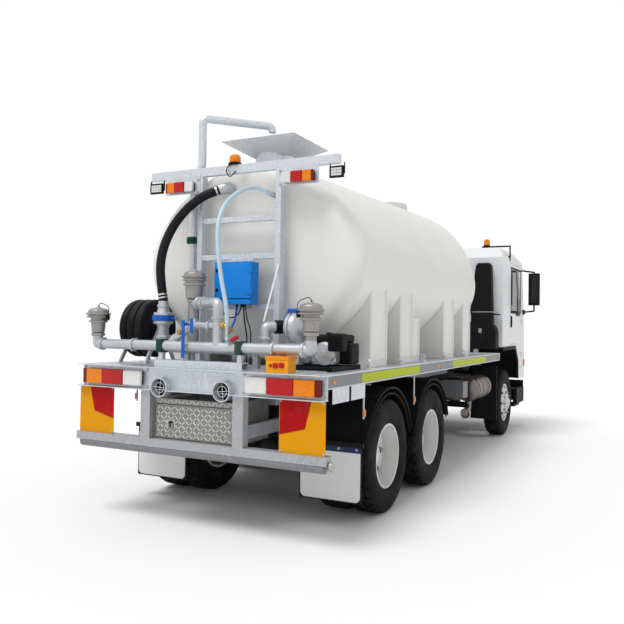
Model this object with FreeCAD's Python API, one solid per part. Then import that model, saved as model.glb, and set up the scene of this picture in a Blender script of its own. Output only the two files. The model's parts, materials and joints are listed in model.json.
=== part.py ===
import FreeCAD, Part
import math
import os
from FreeCAD import Vector

# A water tanker truck: a six-wheel rigid chassis with a tilting cab, a moulded tank on a galvanised deck, and
# pipework for spraying and filling behind the tank. All sizes are in millimetres. The model is drawn with X
# running forward from the rear lip of the deck, Y to the left and Z up from the ground. Each piece is moved at
# export so that the origin lies under the middle of the truck.

# ---- Driving dimensions -------------------------------------------------------------------------------
overall_length = 8330.0
overall_width = 2480.0
half_width = overall_width / 2
pin_clearance = 0.3            # pins, spindles and other running fits
seat_gap = 0.3                 # curved or soft pieces against what carries them
door_gap = 6.0                 # round doors and lids
hinge_pin = 4.0
hinge_wall = 5.0               # round the pin
hinge_offset = 12.0            # of each pin, outside the panel and beyond its edge
hinge_plate = 12.0             # thickness of the fixed ears
weld = 1.0                     # how far a joined piece reaches into what carries it

# wheels
tyre_radius = 525.0
tyre_width = 279.0
tyre_shoulder = 48.0
rim_radius = 286.0
rim_flange = 298.5
rim_width = 210.0
rim_wall = 8.0
disc_thick = 14.0
drum_radius = 200.0
drum_wall = 8.0
backing_plate = 12.0
spindle_radius = 40.0
axle_z = tyre_radius

# chassis ladder
chassis_drop = 320.0           # of its lower face below the top of the tyres
chassis_depth = 280.0
chassis_half_width = 425.0
chassis_flange = 80.0
chassis_wall = 8.0
chassis_bottom = 2 * tyre_radius - chassis_drop
chassis_top = chassis_bottom + chassis_depth
crossmember_size = 90.0
crossmember_start = 140.0
crossmember_pitch = 1150.0

# cab and front axle along the truck
cab_length = 1870.0
cab_gap = 300.0
bumper_depth = 40.0
front_overhang = 1390.0        # of the cab ahead of the front axle
cab_front = overall_length - bumper_depth
cab_rear = cab_front - cab_length
deck_end = cab_rear - cab_gap
chassis_front = cab_front - 230.0
front_axle_x = cab_front - front_overhang

# rear axles
rear_overhang = 1456.0
bogie_spread = 1310.0
rear_axle_x = (rear_overhang, rear_overhang + bogie_spread)
bogie_middle = rear_overhang + bogie_spread / 2
axle_radius = 75.0
axle_bowl = 200.0
twin_gap = 41.0
twin_inset = 5.5
twin_spacing = tyre_width + twin_gap
twin_mid_y = half_width - twin_inset - tyre_width / 2 - twin_spacing / 2
axle_reach = twin_mid_y - 345.0
chassis_rear = rear_overhang - tyre_radius - 171.0

# front wheels and steering
front_inset = 55.5
front_tyre_y = half_width - front_inset - tyre_width / 2
kingpin_y = front_tyre_y - 155.0
kingpin_radius = 22.0
kingpin_half_length = 130.0
steer_eye_radius = 50.0
steer_eye_height = 90.0
knuckle_gap = 2.0
beam_low = axle_z - 125.0
beam_high = axle_z - 35.0
beam_half_depth = 45.0

# leaf springs
spring_y = chassis_half_width - 40.0
spring_width = 76.0
leaf_thick = 14.0
bogie_leaf_thick = 18.0
leaf_count = 5
leaf_step = 0.16
spring_top = axle_z + 65.0
bogie_spring_top = axle_z + 165.0

# engine and gearbox
engine_rear = cab_rear + 30.0
engine_front = front_axle_x + 500.0
engine_half_width = 330.0
engine_bottom = axle_z + 85.0
engine_top = chassis_top + 370.0
gearbox_length = 560.0
gearbox_half_width = 200.0
gearbox_top = chassis_bottom + 140.0
shaft_z = axle_z + 175.0
shaft_radius = 50.0
bogie_shaft_radius = 45.0

# mudguards and flaps
guard_clear = 95.0
guard_rise = 20.0
guard_wall = 6.0
guard_width = 615.0
guard_outer = half_width - 5.0
guard_inner = guard_outer - guard_width
guard_radius = tyre_radius + guard_clear
flap_thick = 8.0
flap_x = rear_overhang - guard_radius - guard_rise
flap_low = 210.0
flap_high = chassis_bottom - 30.0
panel_low = 330.0
panel_thick = 15.0

# deck
deck_sheet = 8.0
bearer_height = 70.0
bearer_width = 50.0
bearer_pitch = 600.0
subframe_height = 260.0
subframe_width = 80.0
rail_depth = 110.0
rail_flange = 50.0
rail_wall = 6.0
fascia_x = 80.0
fascia_depth = 196.0
outrigger_depth = 228.0
outrigger_rows = ((170.0, 310.0), (525.0, 285.0))         # start, length
bearer_low = chassis_top + subframe_height
deck_top = bearer_low + bearer_height + deck_sheet
sheet_low = deck_top - deck_sheet
rail_low = deck_top - rail_depth
fascia_low = deck_top - fascia_depth

# hose tubes under the deck
tube_radius = 80.0
tube_wall = 4.0
tube_y = 318.0
tube_z = deck_top - 169.0
tube_start = 30.0
tube_end = chassis_rear - 60.0
tube_toolbox_gap = 14.0

# underrun bar and its posts
underrun_high = chassis_bottom + 10.0
underrun_low = underrun_high - 70.0
underrun_half = half_width + 20.0
underrun_depth = 90.0
underrun_tube_radius = 35.0
underrun_tube_half = 1150.0
underrun_tube_z = underrun_low - 15.0
post_x = 30.0
post_depth = 80.0
post_inner = 420.0
post_outer = 520.0
arm_end = chassis_rear + 240.0
arm_width = 50.0
reflector_inner = 840.0
reflector_thick = 3.0

# toolbox between the posts
toolbox_x = 75.0
toolbox_end = chassis_rear - 160.0
toolbox_half = post_inner
toolbox_low = underrun_high
toolbox_high = tube_z - tube_radius - tube_toolbox_gap
toolbox_wall = 3.0
toolbox_door_thick = 22.0
toolbox_door_half = 392.0
toolbox_door_low = toolbox_low + 12.0
toolbox_door_high = toolbox_high - 50.0
toolbox_pin_x = toolbox_x - hinge_offset
toolbox_pin_y = -toolbox_door_half - hinge_offset
toolbox_hinges = (toolbox_door_low + 30.0, toolbox_door_high - 80.0)
toolbox_hinge_length = 50.0

# tail lamps
lamp_inner = 530.0
lamp_length = 670.0
lamp_height = 130.0
lamp_depth = 60.0
lamp_z = deck_top - 168.0
high_lamp_y = (480.0, 800.0)

# tank
tank_rear = 845.0
tank_length = 4175.0
tank_front = tank_rear + tank_length
tank_bottom = deck_top + 52.0
tank_middle = tank_bottom + 895.0
tank_crown_rear = tank_middle + 950.0
tank_crown_front = tank_middle + 1083.0
tank_half_width = half_width - 60.0
tank_side_high = 635.0         # radius of the side above the widest line
tank_side_low = 610.0
tank_round_rear = 160.0
tank_round_front = 250.0

# legs that the tank stands on
leg_face = half_width - 115.0
leg_inner = 640.0
leg_fin = 90.0
leg_pocket = 60.0
leg_rise = 822.0
leg_rows = (                   # start from the tank's rear face, length, rise from the deck
    (355.0, 420.0, leg_rise),
    (1135.0, 390.0, leg_rise),
    (1525.0, 220.0, 422.0),
    (2655.0, 440.0, leg_rise),
    (3535.0, 360.0, leg_rise),
)

# manhole lid
hatch_x = tank_front - 520.0
hatch_radius = 280.0
hatch_wall = 14.0
hatch_rim = tank_crown_front + 27.0
hatch_lid_thick = 24.0
hatch_pin = 7.0
hatch_ear_y = (-44.0, 32.0)
hatch_ear = 12.0
hatch_tab_half = 28.0
hatch_pin_x = hatch_x + hatch_radius + 24.0
hatch_pin_z = hatch_rim + 12.0

# fill funnel
funnel_x = tank_rear + 530.0
funnel_top = tank_crown_rear + 275.0
funnel_half = (375.0, 410.0)
funnel_foot = (115.0, 145.0)
funnel_low = funnel_top - 150.0
funnel_neck = 200.0
funnel_neck_top = funnel_low + 50.0
funnel_wall = 5.0
neck_wall = 8.0

# mast and light bar
mast_x = 700.0
mast_depth = 80.0
mast_width = 55.0
mast_y = 425.0
bar_bottom = deck_top + 1767.0
bar_height = 80.0
bar_depth = 50.0
bar_half_length = 1015.0
rung_size = 50.0
rung_rows = (512.0, 972.0, 1317.0)        # rise from the deck
lamp_plate_end = 830.0
lamp_plate_z = bar_bottom - 155.0
high_lamp_z = (bar_bottom - 140.0, bar_bottom - 45.0)
lamp_plate_thick = 5.0

# fill pipe beside the mast
fill_pipe_x = mast_x + 90.0
fill_pipe_radius = 38.0
fill_pipe_wall = 3.0
fill_pipe_bend = 50.0
fill_pipe_z = funnel_top + 180.0
fill_pipe_reach = 1300.0
fill_pipe_low_y = 567.0
fill_pipe_high_y = 474.0
fill_pipe_jog = (deck_top + 1602.0, deck_top + 1902.0)
fill_mouth_z = fill_pipe_z - 60.0
foot_rim = 8.0
foot_height = 60.0

# spray bar
spray_bar_x = 160.0
spray_bar_z = deck_top + 182.0
spray_bar_radius = 44.5
spray_bar_left = 1150.0
spray_bar_right = -1050.0
spray_elbow = 50.0
head_left_top = deck_top + 516.0
head_right_top = deck_top + 557.0
head_body = 75.0
clamp_radius = 127.0
clamp_thick = 44.0
cap_radius = 105.0
cap_height = 48.0
head_neck = 44.0
cradle_y = 405.0
cradle_half = 38.0

# header, riser to the suction hose, middle head and the bend to the bar
riser_x = 420.0
riser_y = 610.0
riser_top = deck_top + 580.0
riser_radius = 46.0
riser_flange = 98.0
header_z = deck_top + 152.0
header_radius = 40.0
header_end = -480.0
header_feet = (-400.0, 330.0)
middle_head_y = 265.0
middle_head_top = deck_top + 858.0
middle_head_body = 93.0
bend_y = -178.0
bend_z = deck_top + 555.0
bend_radius = 45.0
bend_turn = 100.0
branch_z = deck_top + 362.0
branch_radius = 30.0
strainer = ((200.0, 90.0, 382.0), (200.0, 353.0, 202.0))       # X, Y, rise from the deck

# pump set
pump_x = 550.0
pump_z = deck_top + 352.0
volute_radius = 140.0
pump_side = -half_width + 120.0
volute_y = (pump_side + 350.0, pump_side + 490.0)
skid = (420.0, 1000.0, pump_side, pump_side + 500.0, 40.0)     # X from, X to, Y from, Y to, height
pump_engine = (600.0, 1000.0, pump_side + 10.0, pump_side + 340.0, 252.0)
pump_cover = (640.0, 960.0, pump_side + 60.0, pump_side + 300.0, 302.0)
pump_outlet_y = pump_side + 530.0
pump_outlet_z = deck_top + 358.0
pump_outlet_bend = 70.0

# yellow control box
control_box_size = (60.0, 190.0, -905.0, -705.0, 100.0)
control_lid_size = (55.0, 200.0, -912.0, -698.0, 130.0)

# hoses
suction_hose_radius = 42.0
suction_hose_route = (         # X, Y, rise from the deck
    (420, 610, 580), (420, 632, 682), (420, 648, 792), (430, 664, 886), (450, 672, 981), (480, 666, 1096),
    (520, 643, 1212), (560, 596, 1327), (600, 524, 1433), (634, 433, 1520), (672, 332, 1590), (735, 232, 1632),
)
sight_hose_radius = 18.0
sight_hose_route = (           # X, Y, rise from the deck
    (90, -314, 368), (90, -314, 450), (90, -294, 573), (90, -262, 692), (90, -230, 861),
    (95, -205, 1028), (110, -189, 1147), (150, -177, 1261), (218, -178, 1381), (300, -191, 1458),
    (380, -210, 1518), (460, -236, 1562), (540, -266, 1586), (620, -304, 1582), (690, -345, 1554),
)
elbow_radius = 52.0
elbow_bend = 70.0
elbow_reach = 82.0
tail_radius = 14.0
tail_elbow_z = deck_top + 250.0
tail_end_radius = 24.0

# control cabinet
cabinet_x = 550.0
cabinet_back = mast_x - 10.0
cabinet_left = 140.0
cabinet_right = -243.0
cabinet_low = deck_top + 555.0
cabinet_high = deck_top + 934.0
cabinet_door_low = bend_z + bend_radius + 7.0    # so that the open door passes over the bend
cabinet_wall = 3.0
cabinet_door_thick = 20.0
cabinet_hinges = (cabinet_door_low + 40.0, cabinet_high - 90.0)
cabinet_hinge_length = 40.0
cabinet_pin_x = cabinet_x - hinge_offset
cabinet_pin_y = cabinet_right - hinge_offset
cabinet_plate = 60.0
cabinet_plate_rise = 40.0

# hose reel
reel_x = 590.0
reel_z = deck_top + 327.0
reel_radius = 275.0
reel_hose_depth = 30.0
reel_core = 110.0
reel_cheek = 10.0
reel_outer = half_width - 180.0
reel_inner = reel_outer - 265.0
reel_axle = 20.0
reel_side_gap = 12.0
stand_thick = 18.0
stand_spread = 230.0
stand_leg = 40.0
stand_foot = 8.0

# fuel tank and exhaust
fuel_x = (3950.0, 5250.0)
fuel_y = (560.0, 1130.0)
fuel_low = chassis_top - 450.0
fuel_high = chassis_top + 50.0
fuel_round = 110.0
fuel_straps = (200.0, 1040.0)
strap_width = 60.0
exhaust_rear = 4500.0
exhaust_length = 1500.0
exhaust_y = -1050.0
exhaust_z = chassis_top - 135.0
exhaust_radius = 170.0
exhaust_strap_x = (4800.0, 5700.0)
outlet_route = (               # X, Y, rise from the canister's axis
    (4950.0, -1050.0, -155.0), (4950.0, -1050.0, -285.0), (4430.0, -1080.0, -285.0),
)
outlet_radius = 40.0
outlet_bend = 70.0

# air intake behind the cab
intake_rear = cab_rear - 240.0
intake_front = cab_rear - 40.0
intake_y = (-1170.0, -720.0)
intake_low = chassis_top + 390.0
intake_high = chassis_top + 950.0
snorkel_outline = (            # Y, rise from the chassis
    (-836.0, 1690.0), (-748.0, 945.0), (-1094.0, 945.0), (-1071.0, 1690.0), (-1040.0, 1735.0), (-870.0, 1735.0),
)
snorkel_strap = ((-1104.0, -738.0), (930.0, 965.0))

# cab
cab_half_width = half_width - 20.0
cab_bottom = chassis_top + 420.0
cab_skirt = chassis_bottom + 140.0
cab_roof = chassis_top + 2010.0
cab_wall = 60.0
roof_edge = (100.0, 150.0)
screen_foot_z = chassis_top + 890.0
screen_foot_x = cab_front - 60.0
brow_x = cab_front - 280.0
brow_z = cab_roof - 170.0
roof_front_x = cab_front - 590.0
roof_rear_x = cab_rear + 150.0
nose_z = chassis_top + 140.0
arch_front = front_axle_x + 800.0
arch_corner = front_axle_x + 550.0
arch_z = chassis_top + 170.0
foot_floor = chassis_top + 100.0
well_front = 90.0
tunnel_gap = 20.0
lug_width = 50.0
tilt_x = chassis_front - 40.0
tilt_z = chassis_top - 80.0
tilt_pin_radius = 20.0

# cab doors
door_rear = cab_rear + 560.0
door_front = cab_front - 320.0
door_top = cab_roof - 220.0
door_slope_x = door_front - 210.0
door_slope_z = chassis_top + 990.0
door_sill = cab_bottom + 40.0
door_foot = chassis_top + 50.0
door_foot_x = door_front - 180.0
door_arch_x = door_front - 410.0
door_arch_gap = 12.0           # more room behind the lower edge, which swings rearwards first
door_pin_x = door_front + hinge_offset
door_pin_y = cab_half_width + hinge_offset
door_hinges = (chassis_top + 230.0, chassis_top + 810.0)
door_hinge_length = 60.0

# cab windows
window_low = chassis_top + 990.0
window_high = door_top - 80.0
window_rear = door_rear + 80.0
window_front = door_front - 110.0
window_slope_z = window_low + 250.0
window_dip = 60.0
screen_low = chassis_top + 970.0
screen_high = cab_roof - 260.0
screen_half = cab_half_width - 140.0
glass_thick = 8.0
glass_depth = 12.0             # of the windscreen behind the cab's face
rear_window = (450.0, cab_bottom + 720.0, cab_bottom + 1220.0)      # half width, sill, head

# cab inside
seat_rows = ((330.0, 830.0), (-830.0, 100.0))     # Y from, Y to
seat_x = cab_rear + 280.0
seat_length = 550.0
seat_height = 350.0
seat_back = 950.0
seat_back_thick = 140.0
seat_back_offset = 100.0
dash_rear = cab_front - 410.0
dash_z = (cab_bottom + 130.0, cab_bottom + 470.0)
dash_gap = 10.0
column_y = 560.0
column_radius = 35.0

# mirrors
mirror_x = door_front - 5.0
mirror_depth = 100.0
mirror_y = (120.0, 300.0)      # from the cab's side
mirror_z = (chassis_top + 1130.0, chassis_top + 1690.0)
mirror_arm = 14.0

# roof bar and beacon
roof_bar_x = cab_rear + 480.0
roof_bar_y = (-1330.0, -480.0)
roof_bar_rise = 50.0
roof_bar_radius = 16.0
roof_bar_feet = (-1040.0, -520.0)
beacon_y = -960.0
beacon_radius = 60.0
beacon_rise = 90.0

# front bumper
bumper_half = half_width - 40.0
bumper_low = chassis_bottom - 300.0
bumper_high = chassis_bottom + 70.0
bumper_side_high = chassis_bottom - 40.0
bumper_side_rear = arch_front - 60.0
bumper_beam_depth = 140.0
step_y = 960.0
step_rear = arch_front - 20.0
step_front = arch_front + 400.0


# ---- Helpers ------------------------------------------------------------------------------------------
def box(x0, x1, y0, y1, z0, z1):
    return Part.makeBox(x1 - x0, y1 - y0, z1 - z0, Vector(x0, y0, z0))


def rod(start, direction, radius, length):
    return Part.makeCylinder(radius, length, Vector(*start), Vector(*direction))


def rod_between(start, end, radius):
    line = Vector(*end) - Vector(*start)
    return Part.makeCylinder(radius, line.Length, Vector(*start), line)


def plate_xz(points, y0, y1):
    """A plate whose outline is drawn in the side view."""
    corners = [Vector(x, y0, z) for x, z in points]
    face = Part.Face(Part.makePolygon(corners + corners[:1]))
    return face.extrude(Vector(0, y1 - y0, 0))


def plate_yz(points, x0, x1):
    """A plate whose outline is drawn in the rear view."""
    corners = [Vector(x0, y, z) for y, z in points]
    face = Part.Face(Part.makePolygon(corners + corners[:1]))
    return face.extrude(Vector(x1 - x0, 0, 0))


def mirrored(shape):
    return shape.mirror(Vector(0, 0, 0), Vector(0, 1, 0))


def both_sides(shape):
    return [shape, mirrored(shape)]


def raised(route, level):
    """A route whose heights are given from a level."""
    return [(x, y, level + rise) for x, y, rise in route]


def fused(shapes):
    first = shapes[0]
    whole = first.fuse(shapes[1:]) if len(shapes) > 1 else first
    return whole.removeSplitter()


def turned(profile, x, z):
    """A solid turned about an axis along Y through (x, z). The profile's points are (y, radius)."""
    corners = [Vector(x, y, z + radius) for y, radius in profile]
    face = Part.Face(Part.makePolygon(corners + corners[:1]))
    return face.revolve(Vector(x, 0, z), Vector(0, 1, 0), 360)


def route_wire(points, share=0.45, bend=None):
    """Straight runs joined by tangent arcs, each as large as its two runs allow or of one bend radius."""
    route = [Vector(*point) for point in points]
    edges = []
    radii = []
    here = route[0]
    for before, corner, after in zip(route, route[1:], route[2:]):
        back = before - corner
        ahead = after - corner
        turn = math.pi - back.getAngle(ahead)
        reach = share * min(back.Length, ahead.Length)
        radius = reach / math.tan(turn / 2)
        if bend:
            radius = bend
            reach = bend * math.tan(turn / 2)
        back.normalize()
        ahead.normalize()
        arc_start = corner + back * reach
        arc_end = corner + ahead * reach
        inward = back + ahead
        inward.normalize()
        arc_middle = corner + inward * (radius / math.cos(turn / 2) - radius)
        edges.append(Part.LineSegment(here, arc_start).toShape())
        edges.append(Part.Arc(arc_start, arc_middle, arc_end).toShape())
        radii.append(radius)
        here = arc_end
    edges.append(Part.LineSegment(here, route[-1]).toShape())
    return Part.Wire(edges), radii


def pipe(points, radius, share=0.45, bend=None):
    wire, radii = route_wire(points, share, bend)
    direction = Vector(*points[1]) - Vector(*points[0])
    circle = Part.Wire(Part.makeCircle(radius, Vector(*points[0]), direction))
    return wire.makePipeShell([circle], True, False), wire, radii


def hinge(pin, away, out, low, high, overlay=0.0):
    """An upright hinge of a flat panel, as the fixed pieces, the moving pieces and the bore.

    The pin stands hinge_offset outside the panel's face and beyond its edge. away is the direction from the
    panel to what carries it, and out is the direction that the panel faces. overlay is the thickness of a panel
    that lies on its frame and not in it.
    """
    radius = hinge_pin + hinge_wall

    def local(a0, a1, b0, b1, z0, z1):
        x = [pin[0] + a * away[0] + b * out[0] for a, b in ((a0, b0), (a1, b1))]
        y = [pin[1] + a * away[1] + b * out[1] for a, b in ((a0, b0), (a1, b1))]
        return box(min(x), max(x), min(y), max(y), z0, z1)

    foot = (pin[0], pin[1], low - hinge_plate)
    fixed = [rod(foot, (0, 0, 1), hinge_pin, high - low + 2 * hinge_plate)]
    for z0 in (low - hinge_plate, high):
        z1 = z0 + hinge_plate
        fixed.append(rod((pin[0], pin[1], z0), (0, 0, 1), radius, hinge_plate))
        if overlay:
            behind = hinge_offset + overlay + 6
            fixed.append(local(0, radius, -behind - radius, 0, z0, z1))
            fixed.append(local(-hinge_offset - weld, radius, -behind - radius, -behind, z0, z1))
        else:
            fixed.append(local(0, radius + 4, -hinge_offset - weld, radius - 4, z0, z1))
    moving = [rod((pin[0], pin[1], low + pin_clearance), (0, 0, 1), radius, high - low - 2 * pin_clearance)]
    moving.append(local(-4 * hinge_offset, -hinge_offset, -hinge_offset, -hinge_pin, low + 1, high - 1))
    moving.append(local(-hinge_offset - hinge_pin, 0, door_gap - 1 - hinge_offset, hinge_pin, low + 1, high - 1))
    bore = rod((pin[0], pin[1], low), (0, 0, 1), hinge_pin + pin_clearance, high - low)
    return fixed, moving, bore


pieces = {}


def keep(name, *shapes):
    pieces[name] = Part.makeCompound(list(shapes)) if len(shapes) > 1 else shapes[0]


def keep_both(name, *shapes):
    keep(name + "_left", *shapes)
    keep(name + "_right", *[mirrored(shape) for shape in shapes])


# ---- Chassis ------------------------------------------------------------------------------------------
def chassis_rail():
    outer = chassis_half_width
    body = box(chassis_rear, chassis_front, outer - chassis_flange, outer, chassis_bottom, chassis_top)
    hollow = box(chassis_rear, chassis_front, outer - chassis_flange, outer - chassis_wall,
                 chassis_bottom + chassis_wall, chassis_top - chassis_wall)
    return body.cut(hollow)


def chassis_rails():
    """Two channels, their crossmembers and the pins that the cab tilts on."""
    solids = both_sides(chassis_rail())
    inner = chassis_half_width - chassis_wall
    high = chassis_top - 30
    places = [chassis_front - 130]
    x = chassis_rear + crossmember_start
    while x < engine_rear - gearbox_length - crossmember_size:
        places.append(x)
        x += crossmember_pitch
    for x in places:
        solids.append(box(x, x + crossmember_size, -inner, inner, high - crossmember_size, high))
    reach = tunnel_gap + lug_width + tilt_pin_radius
    for side in (1, -1):
        solids.append(rod((tilt_x, side * chassis_half_width, tilt_z), (0, side, 0), tilt_pin_radius, reach))
    return fused(solids)


def engine_block():
    """A plain block on two mounts that reach into the rails."""
    block = box(engine_rear, engine_front, -engine_half_width, engine_half_width, engine_bottom, engine_top)
    mount_x = front_axle_x + 150
    mount = box(mount_x, mount_x + 100, engine_half_width, chassis_half_width - chassis_wall, chassis_bottom + 60,
                chassis_bottom + 120)
    return fused([block] + both_sides(mount))


def driveline(axles):
    """Gearbox behind the engine, and the propeller shafts to both drive axles."""
    overlap = 10
    gearbox_rear = engine_rear - gearbox_length
    gearbox = box(gearbox_rear, engine_rear, -gearbox_half_width, gearbox_half_width, engine_bottom, gearbox_top)
    nose = rear_axle_x[1] + axle_bowl - overlap
    shaft = rod_between((nose, 0, axle_z), (gearbox_rear, 0, shaft_z), shaft_radius)
    between = rod((rear_axle_x[0] + axle_bowl - overlap, 0, axle_z), (1, 0, 0), bogie_shaft_radius,
                  bogie_spread - 2 * axle_bowl + 2 * overlap)
    return [fused([gearbox, shaft]).cut(axles[1]), between.cut(axles[0]).cut(axles[1])]


def axle_beam(x):
    """A drive axle: tube, bowl, backing plates and the two spindles."""
    solids = [rod((x, -axle_reach, axle_z), (0, 1, 0), axle_radius, 2 * axle_reach)]
    solids.append(Part.makeSphere(axle_bowl, Vector(x, 0, axle_z)))
    spindle = twin_mid_y + 45 - axle_reach
    for side in (1, -1):
        solids.append(rod((x, side * (axle_reach - backing_plate), axle_z), (0, side, 0), drum_radius - 10,
                          backing_plate))
        solids.append(rod((x, side * axle_reach, axle_z), (0, side, 0), spindle_radius, spindle))
    return fused(solids)


def leaf_pack(x, half_length, y, top, thick):
    """A leaf spring: each leaf is shorter than the one above."""
    solids = []
    for number in range(leaf_count):
        half = half_length * (1 - leaf_step * number)
        high = top - number * thick
        solids.append(box(x - half, x + half, y - spring_width / 2, y + spring_width / 2, high - thick, high))
    return solids[0].fuse(solids[1:])


def springs(axles):
    """Front springs on their hangers, and the bogie springs on their saddles and axle seats."""
    solids = []
    half = spring_width / 2
    front_half = 720.0
    bogie_half = bogie_spread / 2 + 35
    for side in (1, -1):
        y = side * spring_y
        pack = leaf_pack(front_axle_x, front_half, y, spring_top, leaf_thick)
        hangers = []
        for end in (-front_half + 30, front_half - 30):
            x = front_axle_x + end
            hangers.append(box(x - 30, x + 30, y - half, y + half, spring_top - leaf_thick, chassis_bottom))
        solids.append(fused([pack] + hangers))
        bogie = leaf_pack(bogie_middle, bogie_half, y, bogie_spring_top, bogie_leaf_thick)
        saddle = box(bogie_middle - 110, bogie_middle + 110, y - half, y + half,
                     bogie_spring_top - leaf_count * bogie_leaf_thick, chassis_bottom)
        seats = [box(x - 60, x + 60, y - half, y + half, axle_z + 25, bogie_spring_top - 10) for x in rear_axle_x]
        solids.append(fused([bogie, saddle] + seats).cut(Part.makeCompound(axles)))
    return solids


def front_axle():
    """The dropped beam with an eye and a kingpin at each end, and the spring pads."""
    x = front_axle_x
    beam_half = kingpin_y - 270
    beam_middle = (beam_low + beam_high) / 2
    pack_low = spring_top - leaf_count * leaf_thick
    solids = [box(x - beam_half_depth, x + beam_half_depth, -beam_half, beam_half, beam_low, beam_high)]
    for side in (1, -1):
        y = side * kingpin_y
        solids.append(rod_between((x, side * (beam_half - 20), beam_middle), (x, y, axle_z), 30))
        solids.append(rod((x, y, axle_z - steer_eye_height / 2), (0, 0, 1), steer_eye_radius, steer_eye_height))
        pin_low = axle_z - kingpin_half_length
        solids.append(rod((x, y, pin_low), (0, 0, 1), kingpin_radius, 2 * kingpin_half_length))
    pad = box(x - 70, x + 70, spring_y - 45, spring_y + 35, beam_high - 10, pack_low)
    return fused(solids + both_sides(pad))


def knuckle():
    """The steering knuckle: two ears on the kingpin, the web, the backing plate, spindle and steering arm."""
    x = front_axle_x
    z = axle_z
    ear_radius = steer_eye_radius - 2
    half = kingpin_half_length
    eye = steer_eye_height / 2 + knuckle_gap
    web = kingpin_y + 85
    solids = []
    for low, high in ((z - half, z - eye), (z + eye, z + half)):
        solids.append(rod((x, kingpin_y, low), (0, 0, 1), ear_radius, high - low))
        solids.append(box(x - ear_radius, x + ear_radius, kingpin_y, web, low, high))
    solids.append(box(x - ear_radius, x + ear_radius, web - 29, web, z - half, z + half))
    solids.append(rod((x, web - backing_plate, z), (0, 1, 0), drum_radius - 10, backing_plate))
    solids.append(rod((x, web - 5, z), (0, 1, 0), spindle_radius, front_tyre_y + 100 - web))
    solids.append(box(x - 230, x - 30, kingpin_y - 40, kingpin_y + 20, z - half + 5, z - half + 35))
    bore = rod((x, kingpin_y, z - half - 10), (0, 0, 1), kingpin_radius + pin_clearance, 2 * half + 20)
    return fused(solids).cut(bore)


# ---- Wheels -------------------------------------------------------------------------------------------
def tyre(x, y):
    half = tyre_width / 2
    bead = rim_radius + seat_gap
    edge = rim_width / 2
    outer = [                  # distance inside the tyre's side, radius
        (8, bead + 55), (0, bead + 110), (14, tyre_radius - 60), (30, tyre_radius - 14),
        (tyre_shoulder, tyre_radius),
    ]
    rise = [(y - edge, bead), (y - edge, rim_flange + 2)] + [(y - half + inset, radius) for inset, radius in outer]
    fall = [(2 * y - place, radius) for place, radius in reversed(rise)]
    return turned(rise + fall, x, axle_z)


def rim_barrel(y):
    """Profile of a rim's barrel with its two flanges."""
    edge = rim_width / 2 + seat_gap
    lip = rim_width / 2 + rim_wall
    inner = rim_radius - rim_wall
    return [
        (y - lip, inner), (y - lip, rim_flange), (y - edge, rim_flange), (y - edge, rim_radius),
        (y + edge, rim_radius), (y + edge, rim_flange), (y + lip, rim_flange), (y + lip, inner),
    ]


def rear_rims(x):
    """Both rims of a twin wheel, back to back, on one hub with its drum and cap."""
    bore = spindle_radius + pin_clearance
    middle = twin_mid_y
    inner_y = middle - twin_spacing / 2
    outer_y = middle + twin_spacing / 2
    edge = rim_width / 2
    hold = rim_radius - 4
    disc = disc_thick - 2
    cone = [
        (middle - disc, 140), (middle - disc, 200), (inner_y + edge - 30, hold), (inner_y + edge, hold),
        (middle, 215), (outer_y - edge, hold), (outer_y - edge + 30, hold), (middle + disc, 200),
        (middle + disc, 140),
    ]
    drum_out = drum_radius + drum_wall - 2
    drum_in = drum_radius - 2
    hub = [
        (middle - 315, drum_out), (middle - 315, drum_in), (middle - 95, drum_in), (middle - 95, bore),
        (middle + 50, bore), (middle + 75, 0), (middle + 110, 0), (middle + 110, 70), (middle + 85, 95),
        (middle + disc, 110), (middle + disc, 150), (middle - disc, 150), (middle - 75, drum_out),
    ]
    profiles = [rim_barrel(inner_y), rim_barrel(outer_y), cone, hub]
    return fused([turned(profile, x, axle_z) for profile in profiles])


def front_rim():
    """Rim, dished disc, hub and drum of a steered wheel."""
    bore = spindle_radius + pin_clearance
    y = front_tyre_y
    hold = rim_radius - 4
    edge = y + rim_width / 2
    face = y + 135
    drum_out = drum_radius + drum_wall - 2
    drum_in = drum_radius - 2
    disc = [
        (edge - 30, hold), (edge, hold), (face, 215), (face, 100), (face - disc_thick, 100),
        (face - disc_thick, 205), (edge - 50, hold),
    ]
    hub = [
        (y - 55, drum_out), (y - 55, drum_in), (y + 55, drum_in), (y + 55, bore), (y + 105, bore), (y + 120, 0),
        (y + 190, 0), (y + 190, 60), (y + 170, 80), (face, 105), (face, 150), (y + 95, drum_out),
    ]
    return fused([turned(profile, front_axle_x, axle_z) for profile in (rim_barrel(y), disc, hub)])


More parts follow.
